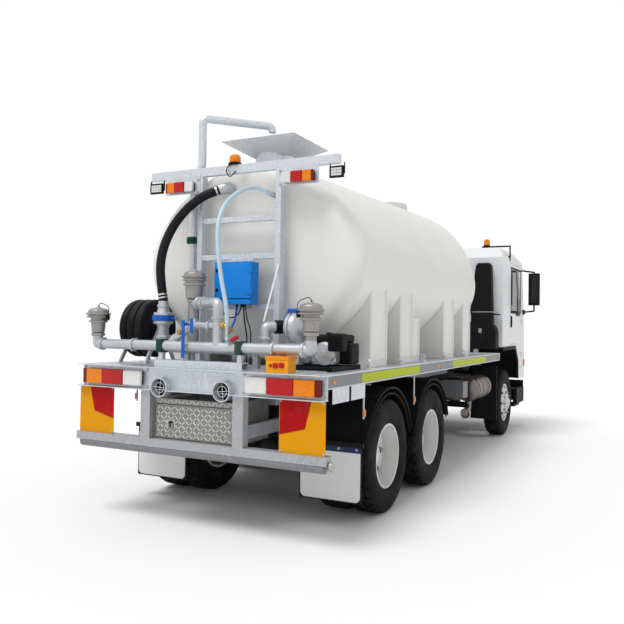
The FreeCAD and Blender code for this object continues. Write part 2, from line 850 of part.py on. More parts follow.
# ---- Deck ---------------------------------------------------------------------------------------------
def deck_frame():
    """Sheet, side rails, rear channel, outrigger plates, bearers and subframe."""
    w = half_width
    solids = [box(fascia_x, deck_end, -w, w, sheet_low, deck_top)]
    rail = box(fascia_x, deck_end, w - rail_flange, w, rail_low, deck_top)
    rail = rail.cut(box(fascia_x, deck_end, w - rail_flange, w - rail_wall, rail_low + rail_wall, sheet_low))
    solids += both_sides(rail)
    solids.append(box(fascia_x, fascia_x + rail_wall, -w, w, fascia_low, deck_top))
    solids.append(box(0, fascia_x, -w, w, deck_top - rail_wall, deck_top))
    solids.append(box(0, fascia_x, -w, w, fascia_low, fascia_low + rail_wall))
    solids.append(box(deck_end - rail_wall, deck_end, -w, w, rail_low, deck_top))
    for start, length in outrigger_rows:
        low = deck_top - outrigger_depth
        solids += both_sides(box(start, start + length, w - rail_wall, w, low, rail_low + weld))
    subframe_start = chassis_rear - 40
    count = int((deck_end - subframe_start) // bearer_pitch) + 1
    for number in range(count):
        x = subframe_start + number * bearer_pitch
        solids.append(box(x, x + bearer_width, -w + rail_wall, w - rail_wall, bearer_low, sheet_low))
    subframe = box(subframe_start, deck_end, chassis_half_width - subframe_width, chassis_half_width, chassis_top,
                   bearer_low)
    solids += both_sides(subframe)
    cut_tubes = both_sides(rod((-10, tube_y, tube_z), (1, 0, 0), tube_radius, fascia_x + 40))
    return fused(solids).cut(Part.makeCompound(cut_tubes))


def hose_tube():
    length = tube_end - tube_start
    tube = rod((tube_start, tube_y, tube_z), (1, 0, 0), tube_radius, length)
    return tube.cut(rod((tube_start, tube_y, tube_z), (1, 0, 0), tube_radius - tube_wall, length))


def underrun():
    """Underrun bar and the round tube below it, with two posts to the rear channel and two arms to the rails."""
    solids = [box(post_x, post_x + underrun_depth, -underrun_half, underrun_half, underrun_low, underrun_high)]
    solids.append(rod((post_x + underrun_depth / 2, -underrun_tube_half, underrun_tube_z), (0, 1, 0),
                      underrun_tube_radius, 2 * underrun_tube_half))
    back = post_x + post_depth
    arm_y = chassis_half_width
    solids += both_sides(box(post_x, back, post_inner, post_outer, underrun_high - weld, fascia_low))
    solids += both_sides(box(back, arm_end, arm_y, arm_y + arm_width, chassis_bottom + 60, chassis_bottom + 170))
    solids += both_sides(box(back - 20, back + weld, arm_y, post_outer, chassis_bottom + 30, chassis_bottom + 200))
    return fused(solids)


def toolbox():
    """A sheet box whose rear wall fills the space between the posts, round its door."""
    wall = toolbox_wall
    half = toolbox_half
    gap = door_gap
    outer = box(toolbox_x, toolbox_end, -half, half, toolbox_low, toolbox_high)
    inner = box(toolbox_x + toolbox_door_thick + wall, toolbox_end - wall, -half + wall, half - wall,
                toolbox_low + wall, toolbox_high - wall)
    opening = box(toolbox_x - 1, toolbox_x + toolbox_door_thick + wall + 1, -toolbox_door_half - gap,
                  toolbox_door_half + gap, toolbox_door_low - gap, toolbox_door_high + gap)
    solids = [outer.cut(inner).cut(opening)]
    for low in toolbox_hinges:
        solids += hinge((toolbox_pin_x, toolbox_pin_y), (0, -1), (-1, 0), low, low + toolbox_hinge_length)[0]
    return fused(solids)


def toolbox_door():
    """The door swings rearwards on two hinges at its right edge."""
    half = toolbox_door_half
    panel = box(toolbox_x, toolbox_x + toolbox_door_thick, -half, half, toolbox_door_low, toolbox_door_high)
    latch_y = half - 170
    solids = [panel, box(toolbox_x - 12, toolbox_x + 1, latch_y - 25, latch_y + 25, toolbox_door_low + 80,
                         toolbox_door_low + 130)]
    bores = []
    for low in toolbox_hinges:
        pin = (toolbox_pin_x, toolbox_pin_y)
        moving, bore = hinge(pin, (0, -1), (-1, 0), low, low + toolbox_hinge_length)[1:]
        solids += moving
        bores.append(bore)
    return fused(solids).cut(Part.makeCompound(bores))


def reflector_boards():
    x = post_x + 20
    return both_sides(box(x, x + reflector_thick, reflector_inner, half_width, underrun_high, fascia_low))


def tail_lamps():
    low = box(fascia_x - lamp_depth, fascia_x, lamp_inner, lamp_inner + lamp_length, lamp_z, lamp_z + lamp_height)
    back = mast_x - lamp_plate_thick
    high = box(back - lamp_depth, back, high_lamp_y[0], high_lamp_y[1], high_lamp_z[0], high_lamp_z[1])
    return both_sides(low) + both_sides(high)


# ---- Mudguards and flaps ------------------------------------------------------------------------------
def rear_mudguard(x):
    """An arch over one twin wheel, on a bracket from the rail."""
    width = guard_outer - guard_inner
    centre = axle_z + guard_rise
    reach = bogie_spread / 2 - 5
    ring = rod((x, guard_inner, centre), (0, 1, 0), guard_radius, width)
    ring = ring.cut(rod((x, guard_inner, centre), (0, 1, 0), guard_radius - guard_wall, width))
    top = centre + guard_radius
    ring = ring.common(box(x - reach, x + reach, guard_inner, guard_outer, chassis_bottom - 30, top))
    low = chassis_top + 60
    bracket = box(x - 25, x + 25, chassis_half_width, guard_inner + 40, low, low + 30)
    post = box(x - 25, x + 25, guard_inner, guard_inner + 40, low, top - 3)
    return fused([ring, post, bracket])


def mud_flaps():
    """The hanging flaps behind the rear wheels and the plain panels behind the front wheels, with their arms."""
    flap = box(flap_x, flap_x + flap_thick, guard_inner, guard_outer - 20, flap_low, flap_high)
    arm_z = chassis_bottom - 40
    bar = box(flap_x - 20, flap_x, chassis_half_width, guard_outer, arm_z, arm_z + 40)
    panel = box(deck_end, deck_end + panel_thick, 800, half_width - 40, panel_low, deck_top - 198)
    panel_arm = box(deck_end, deck_end + 40, chassis_half_width, 800 + weld, chassis_top - 110, chassis_top - 70)
    return both_sides(fused([flap, bar])) + both_sides(fused([panel, panel_arm]))


# ---- Tank ---------------------------------------------------------------------------------------------
def oval_arcs(x, half, rise, side, middle, up):
    """Half of an oval: points of the side arc and of the crown arc, for y from half to 0."""
    crown = ((half - side) ** 2 + rise ** 2 - side ** 2) / (2 * (rise - side))
    centre_z = rise - crown
    reach = math.hypot(half - side, -centre_z)
    uy = (half - side) / reach
    uz = -centre_z / reach
    joint = (crown * uy, centre_z + crown * uz)
    angle = math.atan2(uz, uy) / 2
    side_mid = (half - side + side * math.cos(angle), side * math.sin(angle))
    return [Vector(x, y, middle + up * z) for y, z in ((half, 0.0), side_mid, joint, (0.0, rise))]


def tank_section(x, crown_z):
    """A closed outline of six arcs: two crowns and four sides."""
    top = oval_arcs(x, tank_half_width, crown_z - tank_middle, tank_side_high, tank_middle, 1)
    low = oval_arcs(x, tank_half_width, tank_middle - tank_bottom, tank_side_low, tank_middle, -1)
    flip = [[Vector(p.x, -p.y, p.z) for p in group] for group in (top, low)]
    arcs = [
        Part.Arc(top[0], top[1], top[2]), Part.Arc(top[2], top[3], flip[0][2]),
        Part.Arc(flip[0][2], flip[0][1], flip[0][0]), Part.Arc(flip[1][0], flip[1][1], flip[1][2]),
        Part.Arc(flip[1][2], low[3], low[2]), Part.Arc(low[2], low[1], low[0]),
    ]
    return Part.Wire([arc.toShape() for arc in arcs])


def water_tank():
    body = Part.makeLoft([tank_section(tank_rear, tank_crown_rear), tank_section(tank_front, tank_crown_front)],
                         True, True)
    for end_x, radius in ((tank_rear, tank_round_rear), (tank_front, tank_round_front)):
        edges = [edge for edge in body.Edges if all(abs(vertex.X - end_x) < 1 for vertex in edge.Vertexes)]
        body = body.makeFillet(radius, edges)
    return body


def tank_legs(tank):
    """Moulded legs under both sides, each a pocketed block shaped to the tank above it."""
    solids = []
    for start, length, rise in leg_rows:
        x0 = tank_rear + start
        x1 = x0 + length
        leg = box(x0, x1, leg_inner, leg_face, deck_top, deck_top + rise)
        if length > 3 * leg_fin:
            leg = leg.cut(box(x0 + leg_fin, x1 - leg_fin, leg_face - leg_pocket, leg_face + 1, deck_top + 60,
                              deck_top + rise))
        solids += both_sides(leg.cut(tank))
    return solids


def collar(x, radius, wall, high, tank):
    ring = rod((x, 0, tank_middle), (0, 0, 1), radius, high - tank_middle)
    ring = ring.cut(rod((x, 0, tank_middle - 10), (0, 0, 1), radius - wall, high - tank_middle + 20))
    return ring.cut(tank)


def funnel_frustum(shrink):
    wires = []
    for z, half in ((funnel_low, funnel_foot), (funnel_top, funnel_half)):
        hx = half[0] - shrink
        hy = half[1] - shrink
        corners = [Vector(funnel_x - hx, -hy, z), Vector(funnel_x + hx, -hy, z), Vector(funnel_x + hx, hy, z),
                   Vector(funnel_x - hx, hy, z)]
        wires.append(Part.makePolygon(corners + corners[:1]))
    return Part.makeLoft(wires, True, True)


def fill_hopper(tank):
    """The square funnel over the tank and the round neck that its faces run into."""
    inside = funnel_frustum(funnel_wall)
    neck = collar(funnel_x, funnel_neck, neck_wall, funnel_neck_top, tank).cut(inside)
    return fused([funnel_frustum(0).cut(inside), neck])


def tank_manway(tank):
    """The collar under the front lid, with the two ears that hold the lid's pin."""
    solids = [collar(hatch_x, hatch_radius, hatch_wall, hatch_rim, tank)]
    edge = hatch_x + hatch_radius
    low = hatch_rim - 4
    for y in hatch_ear_y:
        solids.append(box(edge - 8, hatch_pin_x + 14, y, y + hatch_ear, hatch_rim - 40, low))
        solids.append(box(edge + 5, hatch_pin_x + 14, y, y + hatch_ear, low, hatch_pin_z + 12))
    pin_end = hatch_ear_y[0]
    solids.append(rod((hatch_pin_x, pin_end, hatch_pin_z), (0, 1, 0), hatch_pin, -2 * pin_end))
    return fused(solids).cut(tank)


def hatch_lid():
    half = hatch_tab_half
    lid = rod((hatch_x, 0, hatch_rim + seat_gap), (0, 0, 1), hatch_radius, hatch_lid_thick)
    tab = box(hatch_x + hatch_radius - 20, hatch_pin_x, -half, half, hatch_rim + 6, hatch_rim + 18)
    barrel = rod((hatch_pin_x, -half, hatch_pin_z), (0, 1, 0), hatch_pin + 7, 2 * half)
    bore = rod((hatch_pin_x, -half - 2, hatch_pin_z), (0, 1, 0), hatch_pin + pin_clearance, 2 * half + 4)
    return fused([lid, tab, barrel]).cut(bore)


# ---- Mast ---------------------------------------------------------------------------------------------
def light_mast():
    """Two posts, the light bar across their tops, three rungs and the plates that carry the high lamps."""
    half = mast_width / 2
    post_top = bar_bottom + weld
    solids = both_sides(box(mast_x, mast_x + mast_depth, mast_y - half, mast_y + half, deck_top, post_top))
    solids += both_sides(box(mast_x - lamp_plate_thick, mast_x, mast_y, lamp_plate_end, lamp_plate_z,
                             bar_bottom + 20))
    solids.append(box(mast_x, mast_x + bar_depth, -bar_half_length, bar_half_length, bar_bottom,
                      bar_bottom + bar_height))
    for rise in rung_rows:
        z = deck_top + rise
        solids.append(box(mast_x + 10, mast_x + 10 + rung_size, -mast_y, mast_y, z, z + rung_size))
    return fused(solids)


# ---- Pipework -----------------------------------------------------------------------------------------
def fill_pipe():
    """The pipe up beside the mast, set over towards the middle near its top, and out over the funnel."""
    x = fill_pipe_x
    run = [
        (x, fill_pipe_low_y, deck_top + foot_height / 2), (x, fill_pipe_low_y, fill_pipe_jog[0]),
        (x, fill_pipe_high_y, fill_pipe_jog[1]), (x, fill_pipe_high_y, fill_pipe_z),
        (fill_pipe_reach, 0, fill_pipe_z), (fill_pipe_reach, 0, fill_mouth_z),
    ]
    whole = pipe(run, fill_pipe_radius, bend=fill_pipe_bend)[0]
    mouth = rod((fill_pipe_reach, 0, fill_mouth_z - 1), (0, 0, 1), fill_pipe_radius - fill_pipe_wall, 12)
    foot = rod((x, fill_pipe_low_y, deck_top), (0, 0, 1), fill_pipe_radius + foot_rim, foot_height)
    return fused([whole, foot]).cut(mouth)


def spray_head(x, y, base, top, body):
    """Neck, body, clamp and domed cap of a dust-suppression head."""
    clamp = top - cap_height - clamp_thick
    low = clamp - 1.8 * body
    rows = [                   # height from, height to, radius
        (base, low + 1, head_neck), (low, clamp + 1, body), (clamp, clamp + clamp_thick, clamp_radius),
        (clamp + clamp_thick - 1, top, cap_radius),
    ]
    return fused([rod((x, y, z0), (0, 0, 1), radius, z1 - z0) for z0, z1, radius in rows])


def spray_bar():
    """The cross pipe with an elbow and a head at each end, on two saddles and their channel."""
    x = spray_bar_x
    z = spray_bar_z
    solids = [rod((x, spray_bar_right, z), (0, 1, 0), spray_bar_radius, spray_bar_left - spray_bar_right)]
    for y, top in ((spray_bar_left, head_left_top), (spray_bar_right, head_right_top)):
        solids.append(Part.makeSphere(spray_elbow, Vector(x, y, z)))
        solids.append(spray_head(x, y, z, top, head_body))
    for side in (1, -1):
        y = side * cradle_y
        half = cradle_half
        solids.append(box(x - 40, x + 40, y - half, y + half, z - 60, z + 60))
        solids.append(box(x - 20, x + 20, y - 20, y + 20, deck_top + 60, z - 50))
    solids.append(box(x - 50, x + 50, -450, 450, deck_top, deck_top + 62))
    return fused(solids)


def pump_set():
    """Pump volute, engine body and its cover on a skid."""
    solids = []
    for x0, x1, y0, y1, height in (skid, pump_engine, pump_cover):
        solids.append(box(x0, x1, y0, y1, deck_top, deck_top + height))
    low, high = volute_y
    solids.append(rod((pump_x, low, pump_z), (0, 1, 0), volute_radius, high - low))
    solids.append(box(pump_x - 60, pump_x + 60, low + 10, high - 10, deck_top, pump_z - volute_radius + 20))
    solids.append(box(pump_x, pump_engine[0] + weld, low, low + 40, deck_top, deck_top + 300))
    return fused(solids)


def pump_manifold(bar, hose, pump):
    """Pump elbow, header, valve riser, middle head, the bend to the spray bar and its strainer."""
    x = riser_x
    z = header_z
    solids = [rod((x, header_end, z), (0, 1, 0), header_radius, riser_y - header_end)]
    for y in header_feet:
        solids.append(box(x - 25, x + 25, y - 25, y + 25, deck_top, z))
    riser_low = z - header_radius - 5
    solids.append(rod((x, riser_y, riser_low), (0, 0, 1), riser_radius, riser_top - riser_low))
    solids.append(rod((x, riser_y, z + 70), (0, 0, 1), riser_flange - 28, 50))
    solids.append(rod((x, riser_y, z + 245), (0, 0, 1), riser_flange, 50))
    solids.append(spray_head(x, middle_head_y, z, middle_head_top, middle_head_body))
    elbow = [(pump_x, pump_outlet_y - 50, pump_outlet_z), (x, header_end, pump_outlet_z), (x, header_end, z)]
    solids.append(pipe(elbow, header_radius, bend=pump_outlet_bend)[0])
    down = (spray_bar_x, bend_y, bend_z)
    bend = [(x, middle_head_y, bend_z), down, (spray_bar_x, bend_y, spray_bar_z)]
    solids.append(pipe(bend, bend_radius, bend=bend_turn)[0])
    start, end = [(px, py, deck_top + rise) for px, py, rise in strainer]
    solids.append(rod_between((spray_bar_x, bend_y, branch_z), (start[0], start[1] + 30, branch_z), branch_radius))
    solids.append(rod_between(start, end, branch_radius + 2))
    return fused(solids).cut(Part.makeCompound([bar, hose, pump]))


def control_box():
    solids = []
    for x0, x1, y0, y1, height in (control_box_size, control_lid_size):
        low = deck_top if x0 > control_lid_size[0] else deck_top + control_box_size[4]
        solids.append(box(x0, x1, y0, y1, low, deck_top + height))
    return fused(solids)


# ---- Hoses --------------------------------------------------------------------------------------------
def hose(route, radius):
    solid, wire, radii = pipe(route, radius)
    tightest = min(radii) / (2 * radius)
    print("hose", round(wire.Length), "mm long, tightest bend", round(tightest, 1), "diameters, volume",
          round(solid.Volume / (math.pi * radius ** 2 * wire.Length), 4))
    return solid


def hose_fittings(tank, bar):
    """The tank elbow that the suction hose ends on, and the tail and the tank inlet of the sight hose."""
    suction = raised(suction_hose_route, deck_top)
    sight = raised(sight_hose_route, deck_top)
    end = Vector(*suction[-1])
    along = end - Vector(*suction[-2])
    along.normalize()
    neck = end + along * elbow_reach
    elbow = pipe([end, neck, (tank_rear, neck.y, neck.z)], elbow_radius, bend=elbow_bend)[0]
    foot = Vector(*sight[0])
    lower = Vector(foot.x, foot.y, tail_elbow_z)
    tail = [rod_between(lower, foot, tail_radius), Part.makeSphere(tail_radius + 4, lower)]
    tail.append(rod_between((spray_bar_x, foot.y, spray_bar_z), lower, tail_radius))
    tip = Vector(*sight[-1])
    ahead = tip - Vector(*sight[-2])
    ahead.normalize()
    knee = tip + ahead * 40
    inlet = [rod_between(tip, knee, tail_end_radius), Part.makeSphere(tail_end_radius, knee)]
    inlet.append(rod_between(knee, (tank_rear + 60, knee.y - 10, knee.z - 20), tail_end_radius))
    return [elbow, fused(tail).cut(bar), fused(inlet).cut(tank)]


# ---- Cabinet and reel ---------------------------------------------------------------------------------
def control_cabinet():
    wall = cabinet_wall
    front = cabinet_x + cabinet_door_thick + seat_gap
    outer = box(front, cabinet_back, cabinet_right, cabinet_left, cabinet_low, cabinet_high)
    inner = box(front - 1, cabinet_back - wall, cabinet_right + wall, cabinet_left - wall, cabinet_low + wall,
                cabinet_high - wall)
    back = box(cabinet_back, mast_x + 10, cabinet_right + cabinet_plate, cabinet_left - cabinet_plate,
               cabinet_low - cabinet_plate_rise, cabinet_high + cabinet_plate_rise)
    strip = box(cabinet_x, front + wall, cabinet_right, cabinet_left, cabinet_low, cabinet_door_low - door_gap)
    solids = [outer.cut(inner), back, strip]
    for low in cabinet_hinges:
        solids += hinge((cabinet_pin_x, cabinet_pin_y), (0, -1), (-1, 0), low, low + cabinet_hinge_length,
                        cabinet_door_thick)[0]
    return fused(solids)


def cabinet_door():
    """The door swings on two hinges at its right edge."""
    inside = cabinet_x + cabinet_door_thick
    solids = [box(cabinet_x, inside, cabinet_right, cabinet_left, cabinet_door_low, cabinet_high)]
    bores = []
    for low in cabinet_hinges:
        pin = (cabinet_pin_x, cabinet_pin_y)
        moving, bore = hinge(pin, (0, -1), (-1, 0), low, low + cabinet_hinge_length, cabinet_door_thick)[1:]
        solids += moving
        bores.append(bore)
    return fused(solids).cut(Part.makeCompound(bores))


def hose_reel():
    """Two cheeks, the core and the coiled hose as one drum, with the bore for its axle."""
    width = reel_outer - reel_inner
    start = (reel_x, reel_inner, reel_z)
    solids = [rod(start, (0, 1, 0), reel_core, width)]
    for y in (reel_inner, reel_outer - reel_cheek):
        solids.append(rod((reel_x, y, reel_z), (0, 1, 0), reel_radius, reel_cheek))
    solids.append(rod(start, (0, 1, 0), reel_radius - reel_hose_depth, width))
    bore = rod((reel_x, reel_inner - 1, reel_z), (0, 1, 0), reel_axle + pin_clearance, width + 2)
    return fused(solids).cut(bore)


def reel_stand():
    """Two A-frames with the fixed axle, on two feet."""
    near = reel_inner - stand_thick - reel_side_gap
    far = reel_outer + reel_side_gap
    solids = [rod((reel_x, near, reel_z), (0, 1, 0), reel_axle, far + stand_thick - near)]
    inner = stand_spread - stand_leg
    for y0 in (near, far):
        for side in (1, -1):
            outline = [(reel_x - side * stand_spread, deck_top), (reel_x - side * inner, deck_top),
                       (reel_x + side * 30, reel_z + 30), (reel_x - side * 30, reel_z + 30)]
            solids.append(plate_xz(outline, y0, y0 + stand_thick))
    for x0 in (reel_x - stand_spread, reel_x + inner):
        solids.append(box(x0, x0 + stand_leg, near, far + stand_thick, deck_top, deck_top + stand_foot))
    return fused(solids)


# ---- Fuel, exhaust and intake -------------------------------------------------------------------------
def fuel_tank():
    body = box(fuel_x[0], fuel_x[1], fuel_y[0], fuel_y[1], fuel_low, fuel_high)
    edges = [edge for edge in body.Edges if abs(edge.Vertexes[0].X - edge.Vertexes[-1].X) > 2 * fuel_round]
    solids = [body.makeFillet(fuel_round, edges)]
    for offset in fuel_straps:
        x = fuel_x[0] + offset
        solids.append(box(x, x + strap_width, chassis_half_width, fuel_y[0] + weld, chassis_top - 250,
                          chassis_top - 170))
    return fused(solids)


def exhaust():
    """The canister, its outlet pipe and the two straps to the rail."""
    solids = [rod((exhaust_rear, exhaust_y, exhaust_z), (1, 0, 0), exhaust_radius, exhaust_length)]
    outlet = raised(outlet_route, exhaust_z)
    solids.append(pipe(outlet, outlet_radius, bend=outlet_bend)[0])
    for x in exhaust_strap_x:
        solids.append(box(x, x + strap_width, exhaust_y + 100, -chassis_half_width, exhaust_z - strap_width / 2,
                          exhaust_z + strap_width / 2))
    return fused(solids)


def air_intake():
    """The snorkel behind the cab, wider at the top, and the filter housing under it."""
    rear, front = intake_rear, intake_front
    outline = [(y, chassis_top + rise) for y, rise in snorkel_outline]
    snorkel = plate_yz(outline, rear + 40, front - 20)
    (y0, y1), (z0, z1) = snorkel_strap
    strap = box(rear + 30, front - 10, y0, y1, chassis_top + z0, chassis_top + z1)
    body = box(rear, front, intake_y[0], intake_y[1], intake_low, intake_high)
    bracket = box(rear + 20, front - 60, -800, -760, chassis_top, intake_low)
    foot = box(rear + 20, front - 60, -800, -chassis_half_width + 60, chassis_top, chassis_top + 40)
    return fused([snorkel, strap, body, bracket, foot])


# ---- Cab ----------------------------------------------------------------------------------------------
def screen_x(z):
    """The front face of the windscreen post at a height."""
    return screen_foot_x + (brow_x - screen_foot_x) * (z - screen_foot_z) / (brow_z - screen_foot_z)


def cab_outline(wall):
    """The cab in the side view: its outer face, or the inner face of its walls."""
    if not wall:
        return [
            (cab_rear, cab_bottom), (cab_rear, brow_z), (roof_rear_x, cab_roof), (roof_front_x, cab_roof),
            (brow_x, brow_z), (screen_foot_x, screen_foot_z), (cab_front, nose_z), (cab_front - 20, cab_skirt),
            (arch_front + 20, cab_skirt), (arch_front, arch_z), (arch_corner, cab_bottom),
        ]
    return [
        (cab_rear + wall, cab_bottom + wall), (cab_rear + wall, brow_z - wall / 2),
        (roof_rear_x + wall / 2, cab_roof - wall), (roof_front_x - wall / 4, cab_roof - wall),
        (brow_x - wall, brow_z - wall / 2), (screen_foot_x - wall, screen_foot_z), (cab_front - wall, nose_z),
        (cab_front - wall, foot_floor), (arch_front + 80, foot_floor), (arch_front + wall, arch_z + 20),
        (arch_corner + wall / 2, cab_bottom + wall),
    ]


def roof_wedges(half, top):
    """What is cut off along both edges of the roof."""
    across, down = roof_edge
    corners = [(half - across, top), (half, top - down), (half + 20, top - down), (half + 20, top + 20),
               (half - across, top + 20)]
    return Part.makeCompound(both_sides(plate_yz(corners, cab_rear - 20, cab_front + 20)))


def door_outline(grow):
    arch = grow + door_arch_gap if grow else 0
    return [
        (door_rear - grow, door_sill - grow), (door_rear - grow, door_top + grow),
        (door_slope_x + grow, door_top + grow), (door_front + grow, door_slope_z),
        (door_front + grow, door_foot - grow), (door_foot_x - arch, door_foot - grow),
        (door_arch_x - arch, door_sill - grow),
    ]


def window_outline():
    return [
        (window_rear, window_low), (window_rear, window_high), (door_slope_x - 60, window_high),
        (window_front, window_slope_z), (window_front, window_low - window_dip),
        (window_front - 360, window_low - window_dip), (window_front - 440, window_low),
    ]


def cab_shell():
    """The hollow cab with its doorways, windscreen and rear window cut, its tilt lugs and the door hinges."""
    w = cab_half_width
    wall = cab_wall
    outer = plate_xz(cab_outline(0), -w, w).cut(roof_wedges(w, cab_roof))
    inner = plate_xz(cab_outline(wall), -w + wall, w - wall).cut(roof_wedges(w - wall, cab_roof - wall))
    under_floor = foot_floor - wall
    well = box(arch_front + 80, cab_front - well_front, -w + wall, w - wall, cab_skirt - 10, under_floor)
    tunnel_half = chassis_half_width + tunnel_gap
    tunnel = box(arch_front - 10, arch_front + 90, -tunnel_half, tunnel_half, cab_skirt - 10, under_floor)
    doorway = plate_xz(door_outline(door_gap), w - wall - 5, w + 5)
    deep = wall + 15
    ahead = cab_front + 50
    screen = plate_xz([(screen_x(screen_high) - deep, screen_high), (screen_x(screen_low) - deep, screen_low),
                       (ahead, screen_low), (ahead, screen_high)], -screen_half, screen_half)
    half, sill, head = rear_window
    rear_hole = box(cab_rear - 5, cab_rear + wall + 5, -half, half, sill, head)
    shell = outer.cut(Part.makeCompound([inner, screen, rear_hole] + both_sides(doorway)))
    shell = shell.cut(well).cut(tunnel)
    lug = box(tilt_x - 60, tilt_x + 60, tunnel_half, tunnel_half + lug_width, tilt_z - 50, foot_floor + 10)
    lug = lug.cut(rod((tilt_x, chassis_half_width, tilt_z), (0, 1, 0), tilt_pin_radius + pin_clearance, 100))
    solids = both_sides(lug)
    for low in door_hinges:
        for shape in hinge((door_pin_x, door_pin_y), (1, 0), (0, 1), low, low + door_hinge_length)[0]:
            solids += both_sides(shape)
    return shell.fuse(solids).removeSplitter()


def cab_glass():
    low = screen_low + seat_gap
    high = screen_high - seat_gap
    back = glass_depth + glass_thick
    outline = [(screen_x(high) - back, high), (screen_x(low) - back, low), (screen_x(low) - glass_depth, low),
               (screen_x(high) - glass_depth, high)]
    screen = plate_xz(outline, -screen_half + seat_gap, screen_half - seat_gap)
    half, sill, head = (rear_window[0] - seat_gap, rear_window[1] + seat_gap, rear_window[2] - seat_gap)
    rear = box(cab_rear + 20, cab_rear + 20 + glass_thick, -half, half, sill, head)
    return [screen, rear]


def cab_seats():
    floor = cab_bottom + cab_wall
    solids = []
    for y0, y1 in seat_rows:
        cushion = box(seat_x, seat_x + seat_length, y0, y1, floor, floor + seat_height)
        back = box(seat_x - seat_back_offset, seat_x - seat_back_offset + seat_back_thick, y0, y1, floor,
                   floor + seat_back)
        solids.append(fused([cushion, back]))
    return solids


def dashboard():
    """The dash across the cab, with the steering column."""
    half = cab_half_width - cab_wall - dash_gap
    inner = plate_xz(cab_outline(cab_wall), -half, half)
    dash = box(dash_rear, cab_front, -half, half, dash_z[0], dash_z[1]).common(inner)
    high = dash_z[1]
    column = rod_between((dash_rear + 70, column_y, high - 100), (dash_rear - 140, column_y, high + 60),
                         column_radius)
    return fused([dash, column])


def cab_door():
    w = cab_half_width
    panel = plate_xz(door_outline(0), w - cab_wall, w)
    solids = [panel.cut(plate_xz(window_outline(), w - cab_wall - 1, w + 1))]
    bores = []
    for low in door_hinges:
        moving, bore = hinge((door_pin_x, door_pin_y), (1, 0), (0, 1), low, low + door_hinge_length)[1:]
        solids += moving
        bores.append(bore)
    return fused(solids).cut(Part.makeCompound(bores))


def mirror():
    """One mirror head on its two arms from the cab's front corner."""
    w = cab_half_width
    arm = mirror_arm
    x = mirror_x + mirror_depth / 2
    y = w + (mirror_y[0] + mirror_y[1]) / 2
    low, high = mirror_z
    head = box(mirror_x, mirror_x + mirror_depth, w + mirror_y[0], w + mirror_y[1], low, high)
    solids = [head, rod_between((x - 80, w - 10, high + 50), (x, y, high + 20), arm)]
    solids.append(rod((x, y, high - 40), (0, 0, 1), arm, 60))
    solids.append(rod_between((x + 120, w + 8, low - 120), (x, y, low - 100), arm))
    solids.append(rod((x, y, low - 100), (0, 0, 1), arm, 110))
    solids.append(box(x + 70, x + 150, w, w + 30, low - 160, low - 80))
    cab_side = box(cab_rear, cab_front, 0, w, low - 200, cab_roof)
    return fused(solids).cut(cab_side)


def roof_bar():
    x = roof_bar_x
    z = cab_roof + roof_bar_rise
    solids = [rod((x, roof_bar_y[0], z), (0, 1, 0), roof_bar_radius, roof_bar_y[1] - roof_bar_y[0])]
    solids += [rod((x, y, cab_roof), (0, 0, 1), roof_bar_radius - 2, roof_bar_rise) for y in roof_bar_feet]
    solids.append(rod((x, beacon_y, cab_roof), (0, 0, 1), beacon_radius, beacon_rise))
    return fused(solids)


def front_bumper():
    """Bumper face, the beam behind it, its arms under the rails, and the side panels with their steps."""
    front = overall_length
    back = front - bumper_depth
    low = bumper_low
    rail_out = chassis_half_width
    rail_in = rail_out - chassis_flange
    beam_high = low + 210
    side_in = bumper_half - 50
    side_out = bumper_half + 15
    step_depth = 40
    solids = [box(back, front, -bumper_half, bumper_half, low, bumper_high)]
    solids.append(box(back - bumper_beam_depth, back + weld, -bumper_half + 100, bumper_half - 100, low + 20,
                      beam_high))
    arm_x = chassis_front - 160
    shapes = [
        box(arm_x, back, rail_in, rail_out, low + 130, low + 250),
        box(arm_x, chassis_front, rail_in, rail_out, low + 130, chassis_bottom),
        box(bumper_side_rear, back + weld, side_in, side_out, low, bumper_side_high),
        box(step_rear, step_front, step_y, side_in + weld, low - 50, low - 50 + step_depth),
        box(step_rear, step_front, step_y, side_in + weld, bumper_side_high - step_depth - 10,
            bumper_side_high - 10),
        box(step_front - 60, step_front, step_y, step_y + step_depth, low - 50, bumper_side_high - 10),
        box(step_rear, step_front, side_in, side_in + 20, low - 50, low + weld),
        box(step_front - 60, step_front, rail_out - weld, step_y + weld, low + 20, low + 100),
        box(step_front - 60, step_front, rail_in, rail_out, low + 20, low + 140),
    ]
    for shape in shapes:
        solids += both_sides(shape)
    return fused(solids)


# ---- Assembly -----------------------------------------------------------------------------------------
tank = water_tank()
axles = [axle_beam(x) for x in rear_axle_x]
bar = spray_bar()
pump = pump_set()
suction_hose = hose(raised(suction_hose_route, deck_top), suction_hose_radius)
keep("chassis_rails", chassis_rails())
keep("engine_block", engine_block())
keep("driveline", *driveline(axles))
keep("rear_axles", *axles)
keep("front_axle", front_axle())
keep("leaf_springs", *springs(axles))
keep("deck_frame", deck_frame())
keep("hose_tubes", *both_sides(hose_tube()))
keep("underrun_bar", underrun())
keep("reflector_boards", *reflector_boards())
keep("tail_lamps", *tail_lamps())
keep("toolbox", toolbox())
keep("toolbox_door", toolbox_door())
keep("mudguards", *[shape for x in rear_axle_x for shape in both_sides(rear_mudguard(x))])
keep("mud_flaps", *mud_flaps())
keep("water_tank", tank)
keep("tank_legs", *tank_legs(tank))
keep("tank_manway", tank_manway(tank))
keep("hatch_lid", hatch_lid())
keep("fill_hopper", fill_hopper(tank))
keep("light_mast", light_mast())
keep("fill_pipe", fill_pipe())
keep("spray_bar", bar)
keep("pump_set", pump)
keep("pump_manifold", pump_manifold(bar, suction_hose, pump))
keep("control_box", control_box())
keep("hose_fittings", *hose_fittings(tank, bar))
keep("suction_hose", suction_hose)
keep("sight_hose", hose(raised(sight_hose_route, deck_top), sight_hose_radius))
